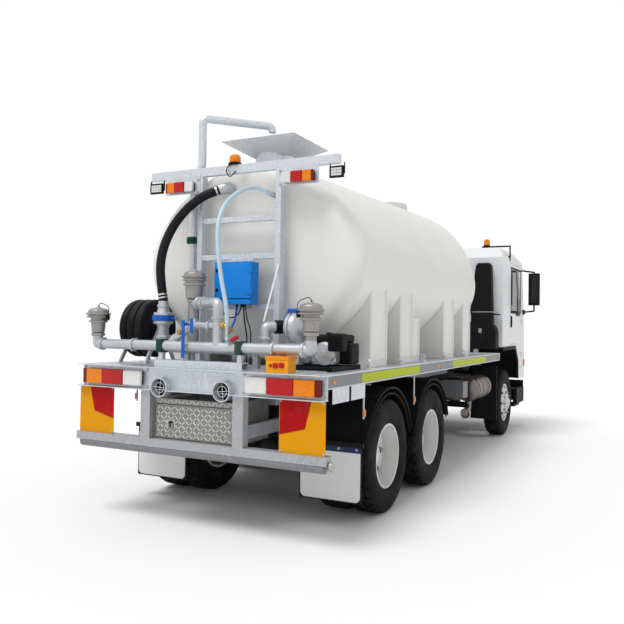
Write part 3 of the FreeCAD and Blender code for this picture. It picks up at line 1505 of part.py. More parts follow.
keep("control_cabinet", control_cabinet())
keep("cabinet_door", cabinet_door())
keep("hose_reel", hose_reel())
keep("reel_stand", reel_stand())
keep("fuel_tank", fuel_tank())
keep("exhaust", exhaust())
keep("air_intake", air_intake())
keep("front_bumper", front_bumper())
keep("cab_shell", cab_shell())
keep("cab_glass", *cab_glass())
keep("cab_seats", *cab_seats())
keep("dashboard", dashboard())
keep("mirrors", *both_sides(mirror()))
keep("roof_bar", roof_bar())
keep_both("front_tyre", tyre(front_axle_x, front_tyre_y))
keep_both("front_rim", front_rim())
keep_both("knuckle", knuckle())
keep_both("door", cab_door())
for axle, x in zip(("rear", "middle"), rear_axle_x):
    keep_both(axle + "_tyres", *[tyre(x, twin_mid_y + half * twin_spacing / 2) for half in (1, -1)])
    keep_both(axle + "_rims", rear_rims(x))

os.makedirs("parts", exist_ok=True)
shift = Vector(-overall_length / 2, 0, 0)
for name, shape in pieces.items():
    moved = shape.copy()
    moved.translate(shift)
    if not moved.isValid():
        print("not valid:", name)
    moved.exportStep("parts/" + name + ".step")
print(len(pieces), "pieces")
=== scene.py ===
import json
import math

import bmesh
import bpy
from mathutils import Matrix, Vector


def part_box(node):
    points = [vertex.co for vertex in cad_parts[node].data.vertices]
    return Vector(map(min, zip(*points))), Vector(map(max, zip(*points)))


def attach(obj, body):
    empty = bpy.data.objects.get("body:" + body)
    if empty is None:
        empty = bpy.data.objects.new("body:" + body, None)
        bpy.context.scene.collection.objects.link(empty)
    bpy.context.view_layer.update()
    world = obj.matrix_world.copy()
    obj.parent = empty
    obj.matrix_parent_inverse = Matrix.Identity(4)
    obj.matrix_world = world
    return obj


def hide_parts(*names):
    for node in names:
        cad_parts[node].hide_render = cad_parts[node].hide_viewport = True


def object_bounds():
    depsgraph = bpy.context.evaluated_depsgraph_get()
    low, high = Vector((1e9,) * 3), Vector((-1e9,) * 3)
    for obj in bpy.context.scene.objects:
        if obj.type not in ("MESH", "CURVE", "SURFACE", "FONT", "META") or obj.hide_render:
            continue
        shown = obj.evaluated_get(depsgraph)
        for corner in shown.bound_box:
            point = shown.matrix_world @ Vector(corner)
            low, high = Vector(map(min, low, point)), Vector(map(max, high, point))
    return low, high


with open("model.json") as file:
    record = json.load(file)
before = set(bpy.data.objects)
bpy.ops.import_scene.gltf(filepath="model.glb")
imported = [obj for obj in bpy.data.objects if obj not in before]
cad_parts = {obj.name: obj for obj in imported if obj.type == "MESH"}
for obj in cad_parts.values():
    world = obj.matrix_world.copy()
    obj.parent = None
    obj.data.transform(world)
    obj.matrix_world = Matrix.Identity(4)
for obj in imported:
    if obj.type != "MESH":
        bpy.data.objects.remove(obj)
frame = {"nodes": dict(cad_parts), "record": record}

bl_info = {
    "name": "Water Tanker",
    "version": (1, 0, 0),
    "blender": (4, 5, 0),
    "location": "3D View > Sidebar > Tanker",
    "description": "Models and finishes the pieces of a water tanker truck round its frame",
    "category": "Object",
}

CAD_LOW, CAD_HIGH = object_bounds()
REAR = CAD_LOW.x                      # the rear lip of the deck
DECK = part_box("deck_frame")[1].z      # the deck's upper face
REAR_AXLE, MIDDLE_AXLE, FRONT_AXLE = 1.456, 2.766, 6.9
MIRROR = Matrix.Diagonal((1, -1, 1, 1))
SIDES = (("left", Matrix.Identity(4)), ("right", MIRROR))
X, Y, Z, BACK = (1, 0, 0), (0, 1, 0), (0, 0, 1), (-1, 0, 0)


def at(x, y, z):
    """A point whose x is measured forwards from the rear lip of the deck."""
    return Vector((REAR + x, y, z))


def spot(place):
    """The point that a plain (x, y, z) means, with x from the rear lip; a Vector is a point already."""
    return place if isinstance(place, Vector) else at(*place)


# ---- Sizes and colours ---------------------------------------------------------------------------------
def length(name, default, description):
    return bpy.props.FloatProperty(name=name, default=default, min=0.0, unit="LENGTH", description=description)


def colour(name, default, description):
    return bpy.props.FloatVectorProperty(name=name, default=default, size=3, min=0.0, max=1.0, subtype="COLOR",
                                         description=description)


class TankerSizes(bpy.types.PropertyGroup):
    bolt_radius: length("Bolt radius", 0.011, "Across the corners of a common bolt head, halved")
    nut_radius: length("Wheel nut radius", 0.018, "Across the corners of a wheel nut, halved")
    stud_circle: length("Stud circle", 0.1675, "Radius of the circle of wheel studs")
    tread_depth: length("Tread depth", 0.014, "Depth of the grooves between the tread blocks")
    lozenge: length("Chequer bar", 0.038, "Length of one raised bar of the chequer plate")
    leg_round: length("Leg rounding", 0.022, "Rounding of the moulded legs' edges")
    lens_round: length("Lens rounding", 0.006, "Rounding of the lamps' lenses")
    cable_radius: length("Cable radius", 0.005, "Radius of the thin electric cables")


class TankerColours(bpy.types.PropertyGroup):
    tank: colour("Tank", (0.79, 0.785, 0.755), "Moulded tank")
    cab: colour("Cab", (0.76, 0.775, 0.79), "Painted cab")
    steel: colour("Galvanised steel", (0.60, 0.63, 0.665), "Deck and mast")
    pipe: colour("Pipework", (0.56, 0.58, 0.605), "Pipes and spray heads")
    cabinet: colour("Cabinet", (0.004, 0.235, 0.74), "Electric cabinet")
    hose: colour("Sight hose", (0.50, 0.66, 0.76), "Clear blue hose")
    amber: colour("Amber", (0.82, 0.22, 0.004), "Turn lamps and beacons")
    red: colour("Red", (0.46, 0.006, 0.008), "Brake lamps and board areas")
    board: colour("Board yellow", (0.84, 0.36, 0.003), "Reflective boards")
    strip: colour("Strip green", (0.56, 0.66, 0.01), "Reflective strips along the deck")


class TankerStageSizes(bpy.types.PropertyGroup):
    lens: bpy.props.FloatProperty(name="Lens", default=40.131, description="Focal length in millimetres")
    turn: bpy.props.FloatProperty(name="Turn", default=math.radians(27.034), subtype="ANGLE",
                                  description="Camera's heading, from straight ahead to the left")
    tilt: bpy.props.FloatProperty(name="Tilt", default=math.radians(1.154), subtype="ANGLE",
                                  description="Camera's pitch above the horizon")
    roll: bpy.props.FloatProperty(name="Roll", default=math.radians(0.8535), subtype="ANGLE",
                                  description="Camera's roll about its line of sight")
    place: bpy.props.FloatVectorProperty(name="Place", default=(-8.81807, -3.51155, 1.71887), unit="LENGTH",
                                         description="Where the camera stands")
    sky: bpy.props.FloatProperty(name="Sky", default=0.58, description="Level of the light from all around")
    key: bpy.props.FloatProperty(name="Key", default=1.72, description="Strength of the broad lamp")


def sizes():
    return bpy.context.scene.tanker_sizes


def colours():
    return bpy.context.scene.tanker_colours


# ---- Modelling by hand ---------------------------------------------------------------------------------
def clear():
    if bpy.context.object and bpy.context.object.mode != "OBJECT":
        bpy.ops.object.mode_set(mode="OBJECT")
    bpy.ops.object.select_all(action="DESELECT")


def only(piece):
    clear()
    piece.select_set(True)
    bpy.context.view_layer.objects.active = piece
    return piece


def edit(piece):
    only(piece)
    bpy.ops.object.mode_set(mode="EDIT")
    bpy.ops.mesh.select_all(action="SELECT")


def leave():
    bpy.ops.object.mode_set(mode="OBJECT")


def choose(piece, test, kind="FACE"):
    """In edit mode, selects the faces or edges whose middle and direction pass a test."""
    bpy.ops.mesh.select_mode(type=kind)
    bpy.ops.mesh.select_all(action="DESELECT")
    mesh = bmesh.from_edit_mesh(piece.data)
    if kind == "FACE":
        for face in mesh.faces:
            face.select_set(bool(test(face.calc_center_median(), face.normal)))
    else:
        for edge in mesh.edges:
            start, end = (vertex.co for vertex in edge.verts)
            edge.select_set(bool(test((start + end) / 2, (end - start).normalized())))
    mesh.select_flush_mode()
    bmesh.update_edit_mesh(piece.data)


def named(piece, name):
    piece.name = piece.data.name = name
    return piece


def settled(piece):
    """Puts the place of a new primitive into its mesh."""
    bpy.ops.object.transform_apply(location=True, rotation=True, scale=True)
    return piece


def block(low, high, bevel=0.003, segments=2):
    """A block between two corners, with its edges rounded."""
    clear()
    low, high = spot(low), spot(high)
    bpy.ops.mesh.primitive_cube_add(size=1, location=(low + high) / 2)
    bpy.context.object.scale = high - low
    piece = settled(bpy.context.object)
    if bevel:
        edit(piece)
        bpy.ops.mesh.bevel(offset=bevel, segments=segments, affect="EDGES")
        leave()
    return piece


def rod(start, end, radius, sides=24, bevel=0.0015):
    """A round bar between two points, with its rims rounded."""
    clear()
    start, end = spot(start), spot(end)
    line = end - start
    bpy.ops.mesh.primitive_cylinder_add(vertices=sides, radius=radius, depth=line.length,
                                        location=(start + end) / 2,
                                        rotation=line.to_track_quat("Z", "Y").to_euler())
    piece = settled(bpy.context.object)
    along = line.normalized()
    edit(piece)
    choose(piece, lambda middle, normal: abs(normal.dot(along)) > 0.99)
    bpy.ops.mesh.region_to_loop()
    bpy.ops.mesh.bevel(offset=bevel, segments=2, affect="EDGES")
    leave()
    return piece


def spun(profile, origin, axis, sides=48):
    """Turns a line of (distance along the axis, radius) points round the axis."""
    origin, axis = spot(origin), Vector(axis).normalized()
    out = axis.orthogonal().normalized()
    points = [origin + axis * along + out * radius for along, radius in profile]
    clear()
    bpy.ops.mesh.primitive_plane_add(size=0.01, location=points[0])
    piece = settled(bpy.context.object)
    edit(piece)
    bpy.ops.mesh.select_mode(type="VERT")
    bpy.ops.mesh.merge(type="CENTER")
    for before, after in zip(points, points[1:]):
        bpy.ops.mesh.extrude_region_move(TRANSFORM_OT_translate={"value": after - before})
    bpy.ops.mesh.select_all(action="SELECT")
    bpy.ops.mesh.spin(steps=sides, angle=2 * math.pi, center=origin, axis=axis)
    bpy.ops.mesh.select_all(action="SELECT")
    bpy.ops.mesh.remove_doubles(threshold=0.00001)
    bpy.ops.mesh.normals_make_consistent(inside=False)
    leave()
    return piece


def curve(points, radius, sides, steps):
    """A round line along a smooth curve through a few points."""
    data = bpy.data.curves.new("curve", "CURVE")
    data.dimensions = "3D"
    spline = data.splines.new("NURBS")
    spline.points.add(len(points) - 1)
    for point, place in zip(spline.points, points):
        point.co = (*spot(place), 1.0)
    spline.order_u = 3
    spline.use_endpoint_u = True
    data.bevel_depth = radius
    data.bevel_resolution = sides
    data.resolution_u = steps
    data.use_fill_caps = True
    piece = bpy.data.objects.new("curve", data)
    bpy.context.scene.collection.objects.link(piece)
    return piece


def bent(points, radius, sides=4):
    """A thin rod, pipe or cable as a mesh."""
    only(curve(points, radius, sides, 6))
    bpy.ops.object.convert(target="MESH")
    return bpy.context.object


def copied(piece, change=Matrix.Identity(4)):
    """A copy with its own mesh, moved, turned or mirrored."""
    twin = piece.copy()
    twin.data = piece.data.copy()
    twin.data.transform(change)
    if change.determinant() < 0:
        twin.data.flip_normals()
    bpy.context.scene.collection.objects.link(twin)
    return twin


def moved(x, y, z):
    return Matrix.Translation((x, y, z))


def about(centre, axis, degrees):
    place = Matrix.Translation(spot(centre))
    return place @ Matrix.Rotation(math.radians(degrees), 4, Vector(axis)) @ place.inverted()


def joined(parts):
    only(parts[0])
    if len(parts) > 1:
        for part in parts:
            part.select_set(True)
        bpy.ops.object.join()
    return bpy.context.object


def discard(*spares):
    clear()
    for spare in spares:
        spare.select_set(True)
    bpy.ops.object.delete()


def ring_of(part, centre, axis, count):
    """Copies of a part, evenly round an axis, as one piece."""
    return joined([part] + [copied(part, about(centre, axis, 360 * step / count)) for step in range(1, count)])


def bolt(place, axis, radius=None):
    """A hexagonal bolt head on its washer."""
    radius = radius or sizes().bolt_radius
    place, axis = spot(place), Vector(axis).normalized()
    head = rod(place, place + axis * radius * 0.9, radius, sides=6, bevel=radius * 0.12)
    washer = rod(place, place + axis * radius * 0.25, radius * 1.45, sides=16, bevel=radius * 0.08)
    return joined([head, washer])


def bolts(places, axis, radius=None):
    """Bolt heads at several places, as one piece."""
    places = [spot(place) for place in places]
    first = bolt(places[0], axis, radius)
    return joined([first] + [copied(first, Matrix.Translation(place - places[0])) for place in places[1:]])


def both_sides(parts):
    """The parts and their mirror images, as one piece."""
    piece = joined(parts)
    return joined([piece, copied(piece, MIRROR)])


def softened(node, width, segments=2):
    """A copy of a frame node with its edges rounded."""
    piece = bpy.data.objects.new(node, frame["nodes"][node].data.copy())
    bpy.context.scene.collection.objects.link(piece)
    edit(piece)
    bpy.ops.mesh.remove_doubles(threshold=0.00001)
    bpy.ops.mesh.dissolve_limited(angle_limit=math.radians(1.0))
    leave()
    rounding = piece.modifiers.new("Rounding", "BEVEL")
    rounding.width = width
    rounding.segments = segments
    rounding.limit_method = "ANGLE"
    rounding.angle_limit = math.radians(35)
    rounding.use_clamp_overlap = True
    bpy.ops.object.modifier_apply(modifier=rounding.name)
    return piece


def complete(name, piece, finish, body="chassis", node=None, smooth=35):
    """Names a piece or a list of parts, gives it its finish, smooth faces and body, and hides the frame node it stands
    for.
    """
    piece = named(only(joined(piece) if isinstance(piece, list) else piece), name)
    bpy.ops.object.shade_smooth_by_angle(angle=math.radians(smooth))
    even = piece.modifiers.new("Even", "WEIGHTED_NORMAL")
    even.keep_sharp = True
    bpy.ops.object.modifier_apply(modifier=even.name)
    piece.data.materials.clear()
    piece.data.materials.append(FINISHES[finish])
    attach(piece, body)
    if node:
        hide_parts(node)
    return piece


def rounded(name, node, width, segments, finish, body="chassis"):
    """A frame node with its edges rounded, as the piece that stands for it."""
    return complete(name, softened(node, width, segments), finish, body, node=node)


# ---- Finishes ------------------------------------------------------------------------------------------
FINISHES = {}


class Finish:
    """A node material while it is made."""

    def __init__(self, name, base, roughness, metallic=0.0, coat=0.0):
        self.material = bpy.data.materials.new(name)
        self.material.use_nodes = True
        self.nodes = self.material.node_tree.nodes
        self.links = self.material.node_tree.links
        self.shader = self.nodes["Principled BSDF"]
        self.shader.inputs["Base Color"].default_value = (*base, 1.0)
        self.shader.inputs["Roughness"].default_value = roughness
        self.shader.inputs["Metallic"].default_value = metallic
        self.shader.inputs["Coat Weight"].default_value = coat
        if max(base) < 0.06:
            self.shader.inputs["Specular IOR Level"].default_value = 0.12
        self.material.diffuse_color = (*base, 1.0)
        self.place = self.nodes.new("ShaderNodeTexCoord").outputs["Object"]
        FINISHES[name] = self.material

    def node(self, kind, inputs):
        """A new node, each of its inputs given a value or another node's output."""
        node = self.nodes.new("ShaderNode" + kind)
        for name, value in inputs.items():
            if isinstance(value, bpy.types.NodeSocket):
                self.links.new(value, node.inputs[name])
            else:
                node.inputs[name].default_value = value
        return node

    def noise(self, scale, detail=4.0, stretch=(1.0, 1.0, 1.0)):
        place = self.node("Mapping", {"Vector": self.place, "Scale": stretch}).outputs["Vector"]
        return self.node("TexNoise", {"Vector": place, "Scale": scale, "Detail": detail}).outputs["Fac"]

    def cells(self, scale, output="Color"):
        texture = self.node("TexVoronoi", {"Vector": self.place, "Scale": scale})
        if output == "Distance":
            return texture.outputs["Distance"]
        return self.node("SeparateColor", {"Color": texture.outputs["Color"]}).outputs["Red"]

    def waves(self, scale, axis="Z"):
        texture = self.node("TexWave", {"Vector": self.place, "Scale": scale})
        texture.bands_direction = axis
        return texture.outputs["Fac"]

    def spread(self, factor, low, high, start=0.3, end=0.7):
        """Turns a 0 to 1 pattern into a range of values."""
        return self.node("MapRange", {"From Min": start, "From Max": end, "To Min": low, "To Max": high,
                                      "Value": factor}).outputs["Result"]

    def mix(self, factor, first, second):
        """Blends two colours, each three numbers or another pattern's output."""
        node = self.node("Mix", {"Factor": factor})
        node.data_type = "RGBA"
        for name, value in (("A", first), ("B", second)):
            socket = [entry for entry in node.inputs if entry.name == name and entry.type == "RGBA"][0]
            if isinstance(value, bpy.types.NodeSocket):
                self.links.new(value, socket)
            else:
                socket.default_value = (*value, 1.0)
        return [entry for entry in node.outputs if entry.type == "RGBA"][0]

    def edges(self, radius):
        """1 near an edge that stands out, and 0 elsewhere."""
        rounded_normal = self.node("Bevel", {"Radius": radius})
        rounded_normal.samples = 4
        product = self.node("VectorMath", {0: rounded_normal.outputs["Normal"],
                                           1: self.node("NewGeometry", {}).outputs["Normal"]})
        product.operation = "DOT_PRODUCT"
        return self.spread(product.outputs["Value"], 1.0, 0.0, 0.80, 0.995)

    def paint(self, socket):
        self.links.new(socket, self.shader.inputs["Base Color"])

    def rough(self, socket):
        self.links.new(socket, self.shader.inputs["Roughness"])

    def bump(self, height, strength, distance=0.001):
        node = self.node("Bump", {"Strength": strength, "Distance": distance, "Height": height})
        self.links.new(node.outputs["Normal"], self.shader.inputs["Normal"])


def shade(base, factor):
    return tuple(min(1.0, value * factor) for value in base)


def zinc(name, base, metallic=0.55):
    """Hot-dipped steel: a spangle of small crystals over slow cloudy streaks."""
    look = Finish(name, base, 0.42, metallic)
    crystals = look.mix(look.spread(look.cells(55), 0, 1, 0, 1), shade(base, 0.82), shade(base, 1.14))
    cloud = look.spread(look.noise(2.2, 5, (1, 1, 0.5)), 0, 1)
    look.paint(look.mix(cloud, crystals, shade(base, 1.05)))
    look.rough(look.spread(look.noise(30, 3), 0.34, 0.56))
    look.bump(look.noise(140, 3), 0.12)


def cast(name, base, metallic=0.6, grain=220):
    """Cast and painted metal with a fine sandy skin and brighter edges."""
    look = Finish(name, base, 0.4, metallic)
    worn = look.mix(look.edges(0.004), shade(base, 0.92), shade(base, 1.25))
    look.paint(look.mix(look.spread(look.noise(9, 5), 0, 0.5), worn, shade(base, 0.72)))
    look.rough(look.spread(look.noise(25, 4), 0.3, 0.52))
    look.bump(look.noise(grain, 3), 0.18)


def painted(name, base, roughness=0.32, coat=0.4, dust=(0.35, 0.32, 0.28), amount=0.12, peel=0.04):
    """Sprayed paint with a faint orange peel and a little road dust."""
    look = Finish(name, base, roughness, 0.0, coat if min(base) > 0.3 else 0.0)
    if min(base) < 0.3:
        look.shader.inputs["Specular IOR Level"].default_value = 0.2
    film = look.spread(look.noise(2.2, 3), 0.0, amount, 0.45, 0.80)
    look.paint(look.mix(film, base, dust))
    look.rough(look.spread(look.noise(12, 4), roughness * 0.8, roughness * 1.35))
    look.bump(look.noise(260, 2), peel)


def moulded(name, base, roughness=0.6, grain=420, strength=0.25, cloud=0.82):
    """Moulded plastic or rubber with a fine leathery grain."""
    look = Finish(name, base, roughness)
    look.paint(look.mix(look.spread(look.noise(7, 5), 0, 1), base, shade(base, cloud)))
    look.rough(look.spread(look.noise(18, 4), roughness * 0.85, roughness * 1.15))
    look.bump(look.cells(grain, "Distance"), strength, 0.0006)


def lens(name, base, ribs=60):
    """A ribbed lamp lens with cells behind a clear face."""
    look = Finish(name, base, 0.16)
    look.shader.inputs["Specular IOR Level"].default_value = 0.25
    look.paint(look.mix(look.cells(130, "Distance"), shade(base, 0.75), shade(base, 1.25)))
    look.bump(look.waves(ribs, "Y"), 0.35, 0.002)


def tank_plastic():
    """Milky moulded tank: slow changes of tone, a fine orange peel and faint upright streaks of dirt."""
    base = tuple(colours().tank)
    look = Finish("tank_poly", base, 0.42)
    cloud = look.spread(look.noise(0.9, 3, (1, 1, 1.6)), 0, 1)
    body = look.mix(cloud, base, shade(base, 0.95))
    streak = look.spread(look.noise(5, 5, (1, 1, 0.16)), 0.0, 0.16, 0.5, 0.8)
    look.paint(look.mix(streak, body, (0.60, 0.58, 0.52)))
    look.rough(look.spread(look.noise(6, 4), 0.34, 0.5))
    look.bump(look.noise(26, 4), 0.10, 0.004)


def tyre_rubber():
    """Black rubber with brown road dust that settles in patches."""
    look = Finish("tyre_rubber", (0.010, 0.010, 0.011), 0.82)
    dust = look.spread(look.noise(6, 6), 0.0, 0.55, 0.42, 0.72)
    look.paint(look.mix(dust, (0.009, 0.009, 0.010), (0.040, 0.036, 0.031)))
    look.rough(look.spread(look.noise(40, 3), 0.68, 0.9))
    look.bump(look.noise(320, 3), 0.35)


def brushed(name, base):
    """Rolled stainless sheet with fine lines round it."""
    look = Finish(name, base, 0.26, 1.0)
    lines = look.noise(55, 4, (1, 14, 14))
    look.paint(look.mix(look.spread(lines, 0, 1), shade(base, 0.78), shade(base, 1.12)))
    look.rough(look.spread(lines, 0.18, 0.38))
    look.bump(lines, 0.06)


def reflective(name, base):
    """Retroreflective sheet: a honeycomb of small cells under a clear face."""
    look = Finish(name, base, 0.4)
    look.shader.inputs["Specular IOR Level"].default_value = 0.08
    comb = look.spread(look.cells(240, "Distance"), 0, 1, 0.1, 0.6)
    grime = look.spread(look.noise(8, 5), 0.0, 0.12, 0.5, 0.8)
    look.paint(look.mix(grime, look.mix(comb, base, shade(base, 0.8)), (0.30, 0.26, 0.2)))
    look.bump(look.cells(240, "Distance"), 0.08)


def window():
    """Dark tinted glass."""
    look = Finish("glass", (0.03, 0.037, 0.04), 0.04)
    look.shader.inputs["Transmission Weight"].default_value = 0.75
    look.shader.inputs["IOR"].default_value = 1.45
    look.rough(look.spread(look.noise(14, 3), 0.02, 0.09))


def cloth(name, base):
    """Woven seat cloth."""
    look = Finish(name, base, 0.9)
    weave = look.mix(look.waves(190, "Y"), shade(base, 0.6), shade(base, 1.3))
    look.paint(look.mix(look.waves(190, "X"), weave, shade(base, 0.8)))
    look.bump(look.waves(190, "Z"), 0.4)


class TANKER_OT_finishes(bpy.types.Operator):
    """Makes every finish and puts one on each piece of the frame"""
    bl_idname = "tanker.finishes"
    bl_label = "Finishes"

    def execute(self, context):
        palette = colours()
        zinc("galvanised", tuple(palette.steel))
        cast("pipe_silver", tuple(palette.pipe))
        cast("head_cast", (0.36, 0.345, 0.33), 0.5, 160)
        cast("cast_iron", (0.035, 0.032, 0.029), 0.3, 160)
        cast("brass", (0.55, 0.36, 0.10), 0.8)
        cast("bolt_zinc", (0.50, 0.50, 0.48), 0.85)
        cast("chequer", (0.26, 0.255, 0.245), 0.6, 120)
        cast("chequer_bars", (0.66, 0.65, 0.63), 0.75, 120)
        # A dark zinc: painted shade on the rail's recessed webs and on the underrun tube below the bar, also put on
        # the dosing box.
        zinc("dark_steel_and_painted_shade", (0.20, 0.205, 0.215), 0.3)
        zinc("steel_weathered", (0.38, 0.39, 0.405), 0.4)
        brushed("stainless", (0.66, 0.65, 0.63))
        brushed("exhaust_steel", (0.19, 0.168, 0.15))
        tank_plastic()
        painted("cab_white", tuple(palette.cab), 0.34, 0.0, shade(tuple(palette.cab), 0.96), 0.2, 0.0)
        painted("rim_white", (0.74, 0.74, 0.73), 0.36, 0.2, (0.20, 0.17, 0.14), 0.35)
        painted("chassis_black", (0.008, 0.008, 0.009), 0.42, 0.0, (0.06, 0.05, 0.04), 0.25)
        painted("cabinet_blue", tuple(palette.cabinet), 0.38, 0.0, (0.4, 0.45, 0.5), 0.03, 0.05)
        painted("yellow", (0.86, 0.37, 0.01), 0.4, 0.2, amount=0.04)
        painted("paint_orange", (0.84, 0.26, 0.004), 0.4, 0.2, amount=0.04)
        painted("paint_red", (0.50, 0.008, 0.008), 0.35, 0.3, amount=0.03)
        painted("paint_green", (0.004, 0.045, 0.030), 0.35, 0.3)
        painted("paint_blue", (0.008, 0.11, 0.50), 0.35, 0.3, amount=0.03)
        painted("strip_navy", (0.012, 0.028, 0.10), 0.4, 0.2)
        painted("enamel_white", (0.80, 0.81, 0.82), 0.35, 0.3, (0.4, 0.36, 0.3), 0.2)
        moulded("black_plastic", (0.008, 0.008, 0.009))
        moulded("hose_rubber", (0.013, 0.013, 0.015), 0.45, 300, 0.35, 0.6)
        moulded("hose_blue", tuple(palette.hose), 0.3, 120, 0.04, 0.9)
        moulded("flap_white", (0.78, 0.79, 0.80), 0.45, 200, 0.08, 0.94)
        tyre_rubber()
        window()
        cloth("seat_fabric", (0.10, 0.105, 0.115))
        reflective("reflector", tuple(palette.board))
        reflective("board_red", tuple(palette.red))
        reflective("strip_green", tuple(palette.strip))
        lens("lamp_red", tuple(palette.red))
        lens("lamp_dark", shade(tuple(palette.red), 0.35))
        lens("lamp_amber", tuple(palette.amber))
        lens("lamp_clear", (0.72, 0.72, 0.70), 25)
        for part in frame["record"]["subparts"]:
            node = frame["nodes"][part["node"]]
            node.data.materials.clear()
            look = "galvanised" if part["node"] == "fill_pipe" else part["material_slot"]
            node.data.materials.append(FINISHES[look])
        return {"FINISHED"}


# ---- Stage and cords -----------------------------------------------------------------------------------
class TANKER_OT_stage(bpy.types.Operator):
    """Makes the camera, the pale floor, the broad lamp and the light from all around"""
    bl_idname = "tanker.stage"
    bl_label = "Stage"

    def execute(self, context):
        stage = context.scene.tanker_stage
        clear()
        bpy.ops.object.camera_add()
        camera = context.object
        ahead = Vector((math.cos(stage.turn) * math.cos(stage.tilt), math.sin(stage.turn) * math.cos(stage.tilt),
            math.sin(stage.tilt)))
        right = ahead.cross(Vector(Z)).normalized()
        up = right.cross(ahead)
        level, raised = math.cos(stage.roll), math.sin(stage.roll)
        right, up = right * level + up * raised, up * level - right * raised
        axes = Matrix((right, up, -ahead)).transposed().to_4x4()
        camera.matrix_world = Matrix.Translation(stage.place) @ axes
        camera.data.sensor_width = 36.0
        camera.data.lens = stage.lens
        camera.data.clip_end = 400.0
        context.scene.camera = camera
        clear()
        bpy.ops.mesh.primitive_plane_add(size=160, location=(0, 0, 0))
        floor = named(settled(context.object), "floor")
        look = Finish("floor_white", (0.97, 0.97, 0.97), 0.9)
        look.paint(look.mix(look.spread(look.noise(0.5, 2), 0, 1), (0.97, 0.97, 0.97), (0.965, 0.965, 0.965)))
        floor.data.materials.append(look.material)
        clear()
        bpy.ops.object.light_add(type="SUN", rotation=(math.radians(-9), math.radians(-27), 0))
        lamp = context.object
        lamp.name = "broad_lamp"
        lamp.data.energy = stage.key
        lamp.data.angle = math.radians(26)
        world = bpy.data.worlds.new("Studio")
        world.use_nodes = True
        context.scene.world = world
        nodes, links = world.node_tree.nodes, world.node_tree.links
        background = nodes["Background"]
        background.inputs["Color"].default_value = (1, 1, 1, 1)
        path = nodes.new("ShaderNodeLightPath")
        seen = path.outputs["Is Camera Ray"]
        for name in ("Is Glossy Ray", "Is Transmission Ray"):
            either = nodes.new("ShaderNodeMath")
            either.operation = "MAXIMUM"
            links.new(seen, either.inputs[0])
            links.new(path.outputs[name], either.inputs[1])
            seen = either.outputs[0]
        level = nodes.new("ShaderNodeMapRange")
        level.inputs["To Min"].default_value = stage.sky
        level.inputs["To Max"].default_value = 1.0
        links.new(seen, level.inputs["Value"])
        links.new(level.outputs["Result"], background.inputs["Strength"])
        context.scene.view_settings.view_transform = "Standard"
        return {"FINISHED"}


SUCTION_ROUTE = (
    (0.42, 0.61, 1.928), (0.42, 0.632, 2.03), (0.42, 0.648, 2.14), (0.43, 0.664, 2.234), (0.45, 0.672, 2.329),
    (0.48, 0.666, 2.444), (0.52, 0.643, 2.56), (0.56, 0.596, 2.675), (0.6, 0.524, 2.781), (0.634, 0.433, 2.868),
    (0.672, 0.332, 2.938), (0.735, 0.232, 2.98),
)
SIGHT_ROUTE = (
    (0.09, -0.314, 1.716), (0.09, -0.314, 1.798), (0.09, -0.294, 1.921), (0.09, -0.262, 2.04), (0.09, -0.23, 2.209),
    (0.095, -0.205, 2.376), (0.11, -0.189, 2.495), (0.15, -0.177, 2.609), (0.218, -0.178, 2.729),
    (0.3, -0.191, 2.806), (0.38, -0.21, 2.866), (0.46, -0.236, 2.91), (0.54, -0.266, 2.934), (0.62, -0.304, 2.93),
    (0.69, -0.345, 2.902),
)


def hose_line(name, route, radius, finish):
    """A hose as one smooth spline through the air."""
    piece = named(curve(route, radius, 6, 10), name)
    piece.data.materials.append(FINISHES[finish])
    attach(piece, "chassis")
    return piece


def band(route, radius, width):
    """A worm-drive clip round a hose near the first point of its route."""
    here, there = at(*route[0]), at(*route[1])
    along = (there - here).normalized()
    start = here + along * 0.022
    strap = spun([(0, radius), (0, radius + 0.0025), (width, radius + 0.0025), (width, radius)], start, along)
    side = along.orthogonal().normalized()
    across = along.cross(side)
    middle = start + along * width / 2 + side * (radius + 0.005)
    screw = rod(middle - across * 0.016, middle + across * 0.016, 0.006, sides=12)
    return joined([strap, screw])


class TANKER_OT_hoses(bpy.types.Operator):
    """Makes the suction hose and the clear hose, with their clips"""
    bl_idname = "tanker.hoses"
    bl_label = "Hoses"

    def execute(self, context):
        clips = [
            band(SUCTION_ROUTE, 0.0425, 0.014),
            band(SUCTION_ROUTE, 0.0425, 0.014),
            band(SUCTION_ROUTE[::-1], 0.0425, 0.014),
        ]
        clips[1].data.transform(moved(0, 0.006, 0.03))
        suction_clips = complete("suction_hose_clips", clips, "stainless")
        suction = hose_line("suction_hose_line", SUCTION_ROUTE, 0.042, "hose_rubber")
        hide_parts("suction_hose")
        clips = [band(SIGHT_ROUTE, 0.0185, 0.01), band(SIGHT_ROUTE[::-1], 0.0185, 0.01)]
        sight_clips = complete("sight_hose_clips", clips, "stainless")
        sight = hose_line("sight_hose_line", SIGHT_ROUTE, 0.018, "hose_blue")
        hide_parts("sight_hose")
        return {"FINISHED"}


# ---- Wheels --------------------------------------------------------------------------------------------
TWIN_Y = 0.935
TWIN_STEP = 0.16
FRONT_Y = 1.045
AXLE_Z = 0.525
TYRE_RADIUS = 0.525
TYRE_STEPS = 96
TYRE_SIDE = (
    (0.105, 0.2868), (0.112, 0.3), (0.124, 0.322), (0.131, 0.345), (0.1372, 0.378), (0.1392, 0.402), (0.1375, 0.43),
    (0.1332, 0.45), (0.1345, 0.455), (0.13, 0.47), (0.122, 0.492), (0.111, 0.509), (0.098, 0.5195),
    (0.0915, 0.5238), (0.073, 0.5246),
)
RIB_EDGES = ((0.073, 0.063), (0.036, 0.026))


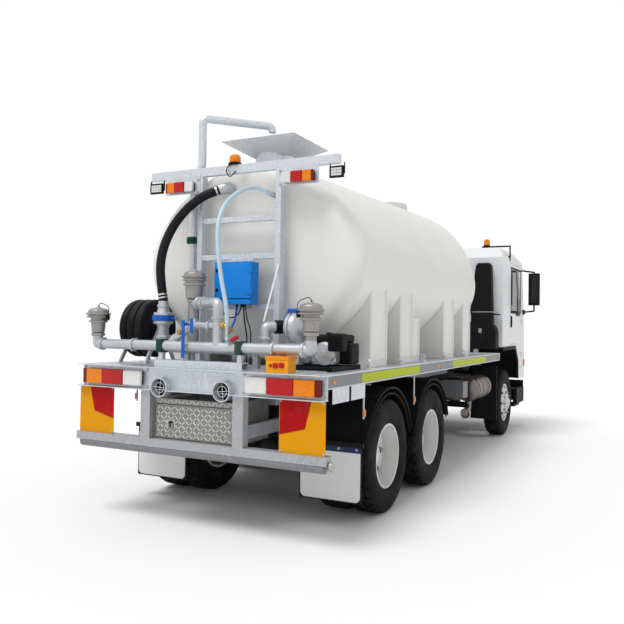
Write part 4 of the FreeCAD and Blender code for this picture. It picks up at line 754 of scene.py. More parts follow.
def tyre_profile(depth):
    """One closed line round a tyre's section, as (distance across, radius)."""
    half = list(TYRE_SIDE)
    for outer, inner in RIB_EDGES:
        half += [(outer, TYRE_RADIUS - depth), (inner, TYRE_RADIUS - depth), (inner, TYRE_RADIUS)]
        if outer == RIB_EDGES[0][0]:
            half.append((RIB_EDGES[1][0], TYRE_RADIUS))
    far = [(-across, radius) for across, radius in reversed(half)]
    return half + far + half[:1]


def tyre(x, y, lugs):
    """A tyre with ribs round it and, on a drive wheel, blocks across its shoulders."""
    depth = sizes().tread_depth
    centre = at(x, y, AXLE_Z)
    piece = spun(tyre_profile(depth), centre, Y, sides=TYRE_STEPS)
    bands = [(0.074, 0.105, 3, 0), (0.037, 0.062, 4, 1), (-0.001, 0.025, 4, 3)] if lugs else [(0.092, 0.105, 3, 0)]
    edit(piece)
    for inner, outer, every, offset in bands:
        def across(middle, normal):
            spoke = math.atan2(middle.z - centre.z, middle.x - centre.x)
            number = int(math.floor(spoke / (2 * math.pi / TYRE_STEPS)))
            tread = math.hypot(middle.z - centre.z, middle.x - centre.x) > TYRE_RADIUS - 0.012
            return tread and inner < abs(middle.y - centre.y) < outer and number % every == offset
        choose(piece, across)
        bpy.ops.mesh.extrude_region_shrink_fatten(TRANSFORM_OT_shrink_fatten={"value": -depth * 0.75})
    leave()
    return piece


def drilled(piece, cutter):
    """Cuts the cutter's shape out of a piece."""
    only(piece)
    cut = piece.modifiers.new("Holes", "BOOLEAN")
    cut.operation = "DIFFERENCE"
    cut.solver = "EXACT"
    cut.object = cutter
    bpy.ops.object.modifier_apply(modifier=cut.name)
    discard(cutter)
    return only(piece)


def barrel(centre):
    """A rim's barrel with its two rounded flanges and the drop in the middle."""
    half = [(0.113, 0.2795), (0.1145, 0.292), (0.1115, 0.298), (0.107, 0.2975), (0.1052, 0.29), (0.103, 0.2855),
        (0.06, 0.2845), (0.04, 0.272)]
    far = [(-across, radius) for across, radius in reversed(half)]
    inner = [(-0.11, 0.2765), (-0.062, 0.276), (-0.044, 0.264), (0.044, 0.264), (0.062, 0.276), (0.11, 0.2765)]
    return spun(half + far + inner + half[:1], centre, Y, sides=72)


def wheel_disc(profile, centre, hole_circle, hole_radius, hole_depth):
    """A pressed disc with its hand holes; the profile is its outer face, from the middle to the rim."""
    back = [(across - 0.01, radius - 0.003) for across, radius in reversed(profile)]
    disc = spun(list(profile) + back + [profile[0]], centre, Y, sides=72)
    low = centre + Vector((hole_circle, hole_depth - 0.12, 0))
    drill = rod(low, low + Vector((0, 0.24, 0)), hole_radius, sides=24)
    return drilled(disc, ring_of(drill, centre, Y, 8))


def wheel_nuts(centre, depth):
    """Ten wheel nuts on their studs, round the hub."""
    radius = sizes().nut_radius
    start = centre + Vector((sizes().stud_circle, depth, 0))
    nut = rod(start, start + Vector((0, 0.022, 0)), radius, sides=6, bevel=0.002)
    flange = rod(start, start + Vector((0, 0.006, 0)), radius * 1.3, sides=20)
    stud = rod(start, start + Vector((0, 0.034, 0)), radius * 0.6, sides=12)
    return ring_of(joined([nut, flange, stud]), centre, Y, 10)


class TANKER_OT_wheels(bpy.types.Operator):
    """Makes the tyres with their tread, the dished rims with their holes, the hubs and the nuts"""
    bl_idname = "tanker.wheels"
    bl_label = "Wheels"

    def execute(self, context):
        drive = tyre(REAR_AXLE, TWIN_Y + TWIN_STEP, True)
        steer = tyre(FRONT_AXLE, FRONT_Y, False)
        centre = at(REAR_AXLE, TWIN_Y, AXLE_Z)
        outer = barrel(centre + Vector((0, TWIN_STEP, 0)))
        inner = copied(outer, moved(0, -2 * TWIN_STEP, 0))
        dish = [(0.07, 0.1), (0.07, 0.196), (0.076, 0.208), (0.104, 0.25), (0.12, 0.268), (0.126, 0.279)]
        disc = wheel_disc(dish, centre, 0.232, 0.034, 0.094)
        hub = spun([(0.066, 0.135), (0.086, 0.132), (0.09, 0.118), (0.116, 0.105), (0.142, 0.098), (0.148, 0.08),
            (0.162, 0.074), (0.166, 0.066), (0.166, 0.03), (0.172, 0.026), (0.173, 0)], centre, Y)
        twin_rim = joined([outer, inner, disc, hub])
        drum = spun([(-0.315, 0.206), (-0.3, 0.21), (-0.292, 0.206), (-0.18, 0.206), (-0.172, 0.21), (-0.05, 0.206),
            (-0.028, 0.2), (0.04, 0.15), (0.058, 0.1), (-0.315, 0.1), (-0.315, 0.206)], centre, Y)
        nuts = wheel_nuts(centre, 0.07)
        front_centre = at(FRONT_AXLE, FRONT_Y, AXLE_Z)
        steer_barrel = barrel(front_centre)
        crown = [(0.135, 0.1), (0.135, 0.205), (0.131, 0.216), (0.098, 0.252), (0.08, 0.268), (0.074, 0.279)]
        steer_disc = wheel_disc(crown, front_centre, 0.24, 0.027, 0.11)
        front_hub = spun([(0.132, 0.14), (0.15, 0.136), (0.156, 0.09), (0.176, 0.078), (0.188, 0.06), (0.19, 0.03),
            (0.192, 0)], front_centre, Y)
        steer_rim = joined([steer_barrel, steer_disc, front_hub])
        steer_nuts = wheel_nuts(front_centre, 0.135)
        steer_drum = copied(drum, Matrix.Translation(front_centre - centre + Vector((0, 0.07, 0))))
        cut_away(steer_drum, front_centre - Vector((0, 0.06, 0)), (0, -1, 0))
        for side, flip in SIDES:
            for axle, x in (("rear", REAR_AXLE), ("middle", MIDDLE_AXLE)):
                shift = flip @ moved(x - REAR_AXLE, 0, 0)
                body = f"{axle}_wheel_{side}"
                pair = [copied(drive, shift), copied(drive, shift @ moved(0, -2 * TWIN_STEP, 0))]
                complete(f"{axle}_tyre_pair_{side}", pair, "tyre_rubber", body, node=f"{axle}_tyres_{side}",
                    smooth=40)
                complete(f"{axle}_rim_pair_{side}", copied(twin_rim, shift), "rim_white", body,
                    node=f"{axle}_rims_{side}")
                complete(f"{axle}_drum_{side}", copied(drum, shift), "cast_iron", body)
                complete(f"{axle}_nuts_{side}", copied(nuts, shift), "bolt_zinc", body)
            body = f"front_wheel_{side}"
            complete(f"steer_tyre_{side}", copied(steer, flip), "tyre_rubber", body, node=f"front_tyre_{side}",
                smooth=40)
            complete(f"steer_rim_{side}", copied(steer_rim, flip), "rim_white", body, node=f"front_rim_{side}")
            complete(f"steer_drum_{side}", copied(steer_drum, flip), "cast_iron", body)
            complete(f"steer_nuts_{side}", copied(steer_nuts, flip), "bolt_zinc", body)
        discard(drive, steer, twin_rim, drum, nuts, steer_rim, steer_nuts, steer_drum)
        return {"FINISHED"}


# ---- Tail ----------------------------------------------------------------------------------------------
LAMP_DEPTH = 0.06
HOUSING_DEPTH = 0.033
LAMP_PARTS = (                        # share of the length from the inner end, finish, share of the depth
    (0, 0.3, "lamp_clear", 0.84), (0.3, 0.655, "lamp_red", 1.0), (0.655, 0.93, "lamp_amber", 0.9),
    (0.93, 1.0, "lamp_dark", 0.8),
)


def lamp_cluster(back, inner, outer, low, high):
    """A lamp housing with a row of lenses, as {finish: parts}."""
    span = outer - inner
    made = {"black_plastic": [block((back - HOUSING_DEPTH, inner + 0.006, low + 0.006),
        (back, outer - 0.006, high - 0.006), 0.005)]}
    for start, end, finish, out in LAMP_PARTS:
        y0, y1 = inner + span * start + 0.001, inner + span * end - 0.001
        piece = block((back - LAMP_DEPTH * out, y0, low), (back - HOUSING_DEPTH + 0.01, y1, high), sizes().lens_round,
            3)
        made.setdefault(finish, []).append(piece)
    return made


class TANKER_OT_lamps(bpy.types.Operator):
    """Makes the low and high tail lamps with their separate lenses"""
    bl_idname = "tanker.lamps"
    bl_label = "Tail lamps"

    def execute(self, context):
        low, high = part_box("tail_lamps")
        parts = {}
        for cluster in (lamp_cluster(0.08, 0.53, 1.2, low.z, low.z + 0.13),
                lamp_cluster(0.695, 0.48, 0.8, high.z - 0.095, high.z)):
            for finish, pieces in cluster.items():
                parts.setdefault(finish, []).extend(pieces)
        for finish, pieces in parts.items():
            node = "tail_lamps" if finish == "black_plastic" else None
            complete("tail_" + finish, both_sides(pieces), finish, node=node)
        return {"FINISHED"}


def cut_away(piece, place, normal):
    """Cuts off what lies beyond a plane and closes the cut."""
    edit(piece)
    bpy.ops.mesh.bisect(plane_co=spot(place), plane_no=normal, use_fill=True, clear_outer=True)
    leave()
    return piece


class TANKER_OT_boards(bpy.types.Operator):
    """Makes the red areas and the bolts of the rear boards, the grilles of the hose tubes and the mud flaps"""
    bl_idname = "tanker.boards"
    bl_label = "Boards, grilles and flaps"

    def execute(self, context):
        low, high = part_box("reflector_boards")
        inner, top = 0.84, high.z
        width, height = 0.4, top - low.z
        red = block((0.0475, inner + 0.004, low.z), (0.0498, inner + width, top - 0.004), 0.0006)
        slope = Vector((0, 0.55 * height, -0.14 * width)).normalized()
        cut_away(red, (0.05, inner + 0.7 * width, top), slope)
        foot = Vector((0, 0.14 * height, -0.56 * width)).normalized()
        cut_away(red, (0.05, inner, top - 0.67 * height), foot)
        complete("board_red_areas", both_sides([red]), "board_red")
        places = [(0.05, y, z) for y in (0.855, 1.225) for z in (low.z + 0.015, top - 0.015)]
        complete("board_bolts", both_sides([bolts(places, BACK, 0.007)]), "bolt_zinc")
        centre = at(0.03, 0.318, 1.179)
        complete("tube_lips", both_sides([spun([(0, 0.0755), (0, 0.0845), (-0.012, 0.086), (-0.02, 0.083),
            (-0.02, 0.0765), (0, 0.0755)], centre, X, sides=40)]), "galvanised")
        mesh = [rod(centre + Vector((0.004, 0, 0)) - way * 0.077, centre + Vector((0.004, 0, 0)) + way * 0.077, 0.002,
            sides=10) for way in (Vector((0, 0.995, 0.1)), Vector((0, -0.1, 0.995)))]
        mesh.append(spun([(0.0022, 0.044), (0, 0.0462), (-0.0022, 0.044), (0, 0.0418), (0.0022, 0.044)], centre, X,
            sides=40))
        # Black discs a little way inside the tubes: painted shade in the tubes' hollows.
        complete("tube_painted_shade_discs", both_sides([spun([(0.05, 0), (0.05, 0.0755), (0.06, 0.0755), (0.06, 0)], centre, X)]),
            "black_plastic")
        complete("tube_grilles", both_sides(mesh), "enamel_white")
        y0, y1, top = 0.62, 1.215, 0.7
        complete("flap_rubber", softened("mud_flaps", 0.002), "hose_rubber", node="mud_flaps")
        face = block((0.8125, y0 + 0.012, 0.222), (0.8165, y1 - 0.012, top - 0.058), 0)
        edit(face)
        choose(face, lambda middle, way: abs(way.x) > 0.99 and middle.z < 0.4, "EDGE")
        bpy.ops.mesh.bevel(offset=0.045, segments=6, affect="EDGES")
        leave()
        complete("flap_faces", both_sides([face]), "flap_white")
        complete("flap_strips", both_sides([block((0.8115, y0 + 0.006, top - 0.06), (0.8165, y1 - 0.006, top - 0.002),
            0.001)]), "strip_navy")
        places = [(0.8115, y0 + 0.045 + 0.168 * step, top - 0.03) for step in range(4)]
        complete("flap_bolts", both_sides([bolts(places, BACK, 0.008)]), "bolt_zinc")
        return {"FINISHED"}


def lozenges(y, z, columns, rows):
    """Raised bars of chequer plate, turned alternately, standing rearwards on the toolbox's face."""
    size, face, pitch = sizes().lozenge, 0.075, 0.038
    bar = block((face - 0.0018, -size / 2, -size / 8), (face + 0.0006, size / 2, size / 8), 0)
    edit(bar)
    choose(bar, lambda middle, normal: normal.x < -0.9)
    bpy.ops.transform.resize(value=(1, 0.74, 0.45))
    leave()
    tilted = [bar, copied(bar)]
    for piece, degrees in zip(tilted, (45, -45)):
        piece.data.transform(Matrix.Rotation(math.radians(degrees), 4, "X"))
    bars = [copied(tilted[(column + row) % 2], moved(0, y + pitch * (column + 0.5), z + pitch * (row + 0.5)))
            for column in range(columns) for row in range(rows)]
    discard(*tilted)
    return joined(bars)


class TANKER_OT_toolbox(bpy.types.Operator):
    """Makes the chequer pattern of the toolbox, its latch and its rivets"""
    bl_idname = "tanker.toolbox"
    bl_label = "Toolbox"

    def execute(self, context):
        complete("door_chequer.002", lozenges(-0.38, 0.756, 20, 7), "chequer_bars", "toolbox_door")
        complete("frame_chequer.002", lozenges(-0.41, 1.043, 21, 1), "chequer_bars")
        plate = block((0.0705, 0.18, 0.83), (0.0755, 0.27, 0.91), 0.0015)
        dish = spun([(0, 0.028), (-0.004, 0.03), (-0.006, 0.026), (-0.002, 0.02), (-0.002, 0)], (0.0715, 0.225, 0.87),
            X, sides=32)
        grip = block((0.058, 0.219, 0.848), (0.072, 0.231, 0.892), 0.003)
        complete("toolbox_latch", plate, "bolt_zinc", "toolbox_door")
        complete("toolbox_handle", [dish, grip], "black_plastic", "toolbox_door")
        complete("door_rivets", bolts([(0.075, y, z) for y in (-0.384, 0.384) for z in (0.762, 0.86, 0.93, 1.028)],
            BACK, 0.005), "bolt_zinc", "toolbox_door")
        return {"FINISHED"}


# ---- Pipework ------------------------------------------------------------------------------------------
BAR_X = 0.16
BAR_Z = DECK + 0.182


def collar(place, axis, radius, width=0.03):
    """A grooved coupling: a ring of two halves with its two bolts."""
    place, axis = spot(place), Vector(axis).normalized()
    half = width / 2
    ring = spun([(-half, radius), (-half, radius + 0.008), (-half * 0.7, radius + 0.013),
        (half * 0.7, radius + 0.013), (half, radius + 0.008), (half, radius), (-half, radius)], place, axis,
        sides=32)
    side = axis.orthogonal().normalized()
    across = axis.cross(side)
    parts = [ring]
    for way in (1, -1):
        ear = place + side * way * (radius + 0.014)
        parts.append(rod(ear - across * 0.018, ear + across * 0.018, 0.007, sides=12))
    return joined(parts)


def head(x, y, base, top, body, neck=0.044):
    """A spray head: neck, body, bolted clamp and domed cap."""
    centre = at(x, y, 0)
    low = top - 0.11 - 1.75 * body
    profile = [(base, neck), (low - 0.034, neck), (low - 0.03, neck + 0.018), (low - 0.006, neck + 0.018),
        (low - 0.002, neck + 0.004), (low + 0.006, body - 0.012), (low + 0.018, body - 0.01),
        (top - 0.142, body - 0.004), (top - 0.138, body + 0.016), (top - 0.124, body + 0.016),
        (top - 0.12, body - 0.002), (top - 0.1, body), (top - 0.096, 0.106), (top - 0.086, 0.108),
        (top - 0.082, 0.092), (top - 0.074, 0.092), (top - 0.07, 0.11), (top - 0.06, 0.112), (top - 0.056, 0.094),
        (top - 0.034, 0.092), (top - 0.02, 0.082), (top - 0.01, 0.056), (top - 0.006, 0.028), (top, 0.024), (top, 0)]
    shell = spun(profile, centre, Z, sides=44)
    first = bolt(centre + Vector((0.102, 0, top - 0.06)), Z, 0.008)
    return joined([shell, ring_of(first, centre, Z, 8)])


def head_wiring(x, y, top, way):
    """The cable from a head's cap to the small switch at its side."""
    start, end = at(x, y, top - 0.004), at(x, y + way * 0.112, top - 0.066)
    lift = Vector((0, 0, 0.045))
    cable = bent([start, start + lift * 0.6, start + lift + Vector((0, way * 0.03, 0)),
        end + Vector((0, way * 0.012, 0.07)), end + Vector((0, way * 0.01, 0.02)), end], sizes().cable_radius * 0.7,
        2)
    switch = block(end - Vector((0.016, 0.012, 0.055)), end + Vector((0.016, 0.014, -0.004)), 0.004)
    gland = rod(start, start + Vector((0, 0, 0.016)), 0.008, sides=12)
    return joined([cable, switch, gland])


class TANKER_OT_spray_bar(bpy.types.Operator):
    """Makes the cross pipe with its elbows, couplings, heads, green clamps and saddle channel"""
    bl_idname = "tanker.spray_bar"
    bl_label = "Spray bar"

    def execute(self, context):
        parts, wires, heads = [rod((BAR_X, -1.02, BAR_Z), (BAR_X, 1.1, BAR_Z), 0.0445, sides=40)], [], []
        for y, top, way in ((1.15, DECK + 0.516, 1), (-1.05, DECK + 0.557, -1)):
            turn = [(BAR_X, y - way * 0.06, BAR_Z), (BAR_X, y - way * 0.022, BAR_Z), (BAR_X, y, BAR_Z),
                (BAR_X, y, BAR_Z + 0.026), (BAR_X, y, BAR_Z + 0.072)]
            parts += [
                bent(turn, 0.047, 8),
                collar((BAR_X, y - way * 0.062, BAR_Z), Y, 0.045),
            ]
            heads.append(head(BAR_X, y, BAR_Z + 0.06, top, 0.07))
            wires.append(head_wiring(BAR_X, y, top, -way))
        for y in (0.72, -0.72):
            parts.append(collar((BAR_X, y, BAR_Z), Y, 0.0445, 0.022))
        complete("spray_pipe", parts, "pipe_silver", node="spray_bar")
        complete("spray_heads", heads, "head_cast")
        complete("head_wires", wires, "black_plastic")
        carriers, greens, clamp_bolts = [], [], []
        for y in (0.405, -0.405):
            greens.append(block((0.108, y - 0.034, BAR_Z - 0.058), (0.212, y + 0.034, BAR_Z + 0.058), 0.012, 3))
            carriers.append(block((0.138, y - 0.022, DECK + 0.055), (0.182, y + 0.022, BAR_Z - 0.05)))
            clamp_bolts.append(bolts([(0.122, y, BAR_Z + 0.057), (0.198, y, BAR_Z + 0.057)], Z))
        channel = block((0.11, -0.45, DECK), (0.21, 0.45, DECK + 0.062), 0.003)
        edit(channel)
        choose(channel, lambda middle, normal: abs(normal.y) > 0.99)
        bpy.ops.mesh.inset(thickness=0.006, use_individual=True)
        bpy.ops.mesh.extrude_region_shrink_fatten(TRANSFORM_OT_shrink_fatten={"value": -0.12})
        leave()
        complete("bar_saddles", carriers + [channel], "galvanised")
        greens.append(block((0.742, 0.52, 2.49), (0.838, 0.612, 2.56), 0.012, 3))
        complete("pipe_clamps", greens, "paint_green")
        complete("clamp_bolts", clamp_bolts, "bolt_zinc")
        return {"FINISHED"}


class TANKER_OT_manifold(bpy.types.Operator):
    """Makes the header, the riser with its blue valve, the middle head, the bend, the strainer and the levers"""
    bl_idname = "tanker.manifold"
    bl_label = "Manifold"

    def execute(self, context):
        x, z = 0.42, DECK + 0.152
        riser_y, tower_y, elbow_y, drop_y = 0.61, 0.265, -0.48, -0.178
        parts = [rod((x, elbow_y, z), (x, riser_y, z), 0.04, sides=36)]
        for y in (-0.4, 0.33):
            parts += [
                block((x - 0.025, y - 0.025, DECK), (x + 0.025, y + 0.025, z - 0.02)),
                collar((x, y, z), Y, 0.04, 0.04),
            ]
        riser = [(-0.045, 0.046), (0.052, 0.046), (0.056, 0.07), (0.07, 0.074), (0.08, 0.072), (0.084, 0.064),
            (0.092, 0.064), (0.096, 0.074), (0.116, 0.07), (0.122, 0.052), (0.19, 0.052), (0.214, 0.066),
            (0.22, 0.088), (0.244, 0.09), (0.246, 0.06), (0.296, 0.06), (0.298, 0.09), (0.318, 0.086),
            (0.324, 0.062), (0.352, 0.052), (0.372, 0.05), (0.376, 0.058), (0.392, 0.058), (0.396, 0.047),
            (0.428, 0.045), (0.428, 0)]
        parts.append(spun(riser, (x, riser_y, z), Z, sides=40))
        flange_bolt = bolt((x + 0.078, riser_y, z + 0.317), Z, 0.008)
        parts.append(ring_of(flange_bolt, (x, riser_y, z), Z, 8))
        complete("tower_head", head(x, tower_y, z, DECK + 0.858, 0.086, 0.046), "head_cast")
        mid_z = DECK + 0.555
        bend = [(x, tower_y, mid_z), (0.33, 0.112, mid_z), (0.215, -0.084, mid_z), (BAR_X, drop_y, mid_z),
            (BAR_X, drop_y, mid_z - 0.11), (BAR_X, drop_y, DECK + 0.36), (BAR_X, drop_y, BAR_Z)]
        parts.append(bent(bend, 0.045, 8))
        way = Vector((BAR_X - x, drop_y - tower_y, 0)).normalized()
        parts += [
            collar(at(x, tower_y, mid_z) + way * 0.125, way, 0.045, 0.034),
            collar(at(x, tower_y, mid_z) + way * 0.235, way, 0.045, 0.024),
            collar((BAR_X, drop_y, mid_z - 0.13), Z, 0.045, 0.02),
        ]
        elbow_z = DECK + 0.358
        pump = [(0.55, -0.6, elbow_z), (0.47, -0.54, elbow_z), (x, elbow_y, elbow_z), (x, elbow_y, elbow_z - 0.06),
            (x, elbow_y, z)]
        parts += [
            bent(pump, 0.047, 8),
            collar((x, elbow_y, elbow_z - 0.1), Z, 0.047, 0.03),
            rod((x, -0.52, z), (x, -0.44, z), 0.056, sides=28, bevel=0.006),
        ]
        branch = DECK + 0.362
        parts += [
            rod((BAR_X, drop_y, branch), (0.196, 0.1, branch), 0.03),
            collar((0.172, -0.085, branch), (0.036, 0.278, 0), 0.03, 0.022),
        ]
        start, end = at(0.2, 0.09, DECK + 0.382), at(0.2, 0.353, DECK + 0.202)
        slope = (end - start).normalized()
        parts.append(spun([(-0.03, 0), (-0.03, 0.03), (0.01, 0.038), (0.07, 0.04), (0.074, 0.046), (0.09, 0.046),
            (0.094, 0.036), (0.23, 0.036), (0.234, 0.044), (0.262, 0.044), (0.266, 0.034), (0.29, 0.034), (0.29, 0)],
            start, slope, sides=32))
        complete("manifold_pipes", parts, "pipe_silver", node="pump_manifold")
        brass = [
            spun([(0, 0), (0, 0.036), (0.016, 0.038), (0.024, 0.034), (0.026, 0.018), (0.042, 0.016), (0.044, 0)],
                start + slope * 0.29, slope, sides=6),
            rod((0.135, -0.262, 1.716), (0.135, -0.222, 1.716), 0.026, sides=20, bevel=0.004),
            rod((0.135, -0.33, 1.668), (0.135, -0.25, 1.716), 0.017, sides=16, bevel=0.003),
            rod((0.15, 0.2, 1.656), (0.128, 0.214, 1.65), 0.028, sides=20, bevel=0.004),
        ]
        complete("brass_fittings", brass, "brass")
        blues = [
            spun([(0.246, 0.062), (0.246, 0.098), (0.258, 0.102), (0.284, 0.102), (0.296, 0.098), (0.296, 0.062),
                (0.246, 0.062)], (x, riser_y, z), Z, sides=36),
            block((x - 0.012, 0.44, z + 0.262), (x + 0.012, 0.54, z + 0.272), 0.004),
            block((0.086, 0.114, 1.43), (0.098, 0.146, 1.752), 0.004, 3),
            block((0.086, 0.03, 1.64), (0.098, 0.058, 1.768), 0.004, 3),
            rod((0.09, 0.13, 1.72), (0.17, 0.13, 1.716), 0.013, sides=16),
        ]
        complete("blue_levers", blues, "paint_blue")
        red = block((0.118, -0.395, 1.59), (0.15, -0.325, 1.618), 0.006, 3)
        red.data.transform(about((0.134, -0.36, 1.604), X, -28))
        complete("red_handle", red, "paint_red")
        return {"FINISHED"}


class TANKER_OT_pump(bpy.types.Operator):
    """Makes the engine-driven pump on its skid: volute, crankcase, fins, tank, air box and starter cover"""
    bl_idname = "tanker.pump"
    bl_label = "Pump set"

    def execute(self, context):
        x, y, axis_z = 0.55, -0.7, DECK + 0.352
        centre = at(x, y, axis_z)
        volute = spun([(0.07, 0), (0.07, 0.048), (0.066, 0.056), (0.052, 0.112), (0.044, 0.134), (0.03, 0.14),
            (0.012, 0.14), (0.008, 0.128), (-0.008, 0.128), (-0.012, 0.14), (-0.04, 0.138), (-0.056, 0.118),
            (-0.07, 0.07), (-0.07, 0)], centre, Y, sides=44)
        port = rod((x, y, axis_z + 0.1), (x, y, axis_z + 0.15), 0.052, bevel=0.006)
        rim = ring_of(bolt(centre + Vector((0.134, 0.032, 0)), Y, 0.008), centre, Y, 8)
        foot = block((0.495, -0.76, DECK + 0.04), (0.605, -0.64, axis_z - 0.115), 0.012, 3)
        crank = block((0.64, -1.03, DECK + 0.045), (0.9, -0.79, DECK + 0.215), 0.03, 4)
        fins = [block((0.668, -1.01, DECK + 0.11 + 0.018 * step), (0.88, -0.77, DECK + 0.117 + 0.018 * step), 0.001,
            1) for step in range(6)]
        bell = rod((0.6, -0.8, DECK + 0.15), (0.6, -0.745, DECK + 0.15), 0.095, bevel=0.012)
        starter = spun([(0, 0), (0, 0.026), (0.006, 0.03), (0.01, 0.08), (0.03, 0.098), (0.06, 0.1), (0.06, 0)],
            (0.598, -0.935, DECK + 0.14), X, sides=36)
        complete("pump_castings", [volute, port, rim, foot, crank, bell, starter] + fins, "pipe_silver",
            node="pump_set")
        skid = [block((0.42, y - 0.025, DECK), (1.0, y + 0.025, DECK + 0.04)) for y in (-1.09, -0.65)]
        skid += [block((x - 0.025, -1.07, DECK + 0.004), (x + 0.025, -0.67, DECK + 0.034)) for x in (0.5, 0.92)]
        fuel = block((0.655, -1.08, DECK + 0.222), (0.96, -0.83, DECK + 0.3), 0.03, 4)
        fuel_cap = rod((0.72, -0.94, DECK + 0.296), (0.72, -0.94, DECK + 0.318), 0.026, bevel=0.004)
        air_box = block((0.585, -1.124, DECK + 0.16), (0.7, -0.985, DECK + 0.312), 0.018, 3)
        ribs = [block((0.578, -1.11, DECK + 0.185 + 0.028 * step), (0.59, -1.0, DECK + 0.195 + 0.028 * step), 0.002)
            for step in range(4)]
        cover = block((0.74, -1.135, DECK + 0.047), (0.93, -1.02, DECK + 0.228), 0.022, 3)
        boot = spun([(-0.002, 0.048), (-0.002, 0.056), (0.012, 0.06), (0.022, 0.055), (0.034, 0.06), (0.046, 0.055),
            (0.058, 0.06), (0.07, 0.056), (0.07, 0.048), (-0.002, 0.048)], (0.475, -0.544, DECK + 0.358),
            (0.8, -0.6, 0), sides=32)
        complete("pump_engine_parts", skid + [fuel, fuel_cap, air_box, cover, boot] + ribs, "black_plastic")
        cap = spun([(0, 0.05), (0, 0.066), (0.008, 0.07), (0.026, 0.07), (0.034, 0.064), (0.036, 0)],
            (x, y, axis_z + 0.13), Z, sides=32)
        complete("pump_cap", [cap, bent([(0.6, -0.56, 1.7), (0.56, -0.59, 1.8), (0.545, -0.66, 1.85),
            (0.56, -0.76, 1.84), (0.6, -0.8, 1.76)], 0.012)], "paint_blue")
        buttons = [
            block((0.046, -0.872, DECK + 0.04), (0.062, -0.826, DECK + 0.082), 0.008, 3),
            block((0.048, -0.816, DECK + 0.036), (0.062, -0.77, DECK + 0.078), 0.008, 3),
            block((0.05, -0.76, DECK + 0.044), (0.062, -0.736, DECK + 0.07), 0.006, 3),
        ]
        complete("box_buttons", buttons, "paint_red")
        complete("box_case", cut_away(softened("control_box", 0.005, 3), (0.1, -0.8, DECK + 0.099), Z), "yellow",
            node="control_box")
        complete("box_lid", block((0.055, -0.912, DECK + 0.098), (0.2, -0.698, DECK + 0.13), 0.006, 3),
            "paint_orange")
        return {"FINISHED"}


class TANKER_OT_cabinet(bpy.types.Operator):
    """Makes the hollow electric cabinet, its door with two locks, its hinges and the lines below it"""
    bl_idname = "tanker.cabinet"
    bl_label = "Control cabinet"

    def execute(self, context):
        low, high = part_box("cabinet_door")
        left, right, top = 0.14, -0.243, high.z
        bottom = DECK + 0.555
        shell = block((0.5705, right, bottom), (0.6895, left, top), 0.004)
        edit(shell)
        choose(shell, lambda middle, normal: normal.x < -0.99)
        bpy.ops.mesh.inset(thickness=0.01)
        bpy.ops.mesh.extrude_region_move(TRANSFORM_OT_translate={"value": (0.108, 0, 0)})
        leave()
        strip = block((0.55, right, bottom), (0.573, left, low.z - 0.008), 0.004)
        knuckles = []
        for z in (low.z + 0.04, top - 0.09):
            for z0, z1 in ((z - 0.012, z), (z + 0.04, z + 0.052)):
                knuckles += [
                    rod((0.538, right - 0.012, z0), (0.538, right - 0.012, z1), 0.009, 16),
                    block((0.538, right - 0.021, z0), (0.6, right + 0.002, z1), 0.001, 1),
                ]
        complete("cabinet_shell", [shell, strip] + knuckles, "cabinet_blue", node="control_cabinet")
        complete("cabinet_plate", block((0.69, right + 0.06, bottom - 0.04), (0.709, left - 0.06, top + 0.04)),
            "galvanised")
        rounded("cabinet_door_skin", "cabinet_door", 0.004, 3, "cabinet_blue", "cabinet_door")
        locks = []
        for z in (low.z + 0.075, top - 0.075):
            locks += [
                spun([(0, 0.016), (-0.004, 0.016), (-0.007, 0.012), (-0.007, 0)], (0.55, left - 0.03, z), X,
                    sides=24),
                block((0.538, left - 0.034, z - 0.012), (0.545, left - 0.026, z + 0.012), 0.002),
            ]
        complete("cabinet_locks", locks, "black_plastic", "cabinet_door")
        lines = []
        for y0, sag, y1, z1, radius in ((0.1, 0.13, -0.11, bottom, 0.006), (-0.13, 0.2, -0.16, DECK + 0.02, 0.006),
                (-0.15, 0.16, -0.2, DECK + 0.02, 0.005)):
            ends = [(0.62, y0, bottom + 0.004), (0.618, y0 - 0.01, bottom - sag * 0.7)]
            if z1 == bottom:
                ends += [(0.6, (y0 + y1) / 2, bottom - sag), (0.61, y1 + 0.01, bottom - sag * 0.7),
                    (0.62, y1, bottom + 0.004)]
            else:
                ends += [(0.64, y1, bottom - sag * 1.4), (0.64, y1, DECK + 0.2), (0.64, y1, z1)]
            lines.append(bent(ends, radius, 3))
        complete("cabinet_cables", lines + [rod((0.62, y, bottom - 0.02), (0.62, y, bottom + 0.002), 0.013, 6)
            for y in (0.1, -0.11, -0.13, -0.06)], "black_plastic")
        complete("cabinet_air_line", bent([(0.62, -0.06, bottom), (0.61, -0.062, bottom - 0.12), (0.56, -0.05, 1.7),
            (0.5, -0.03, 1.6), (0.44, -0.02, 1.535)], 0.009, 4), "paint_blue")
        return {"FINISHED"}


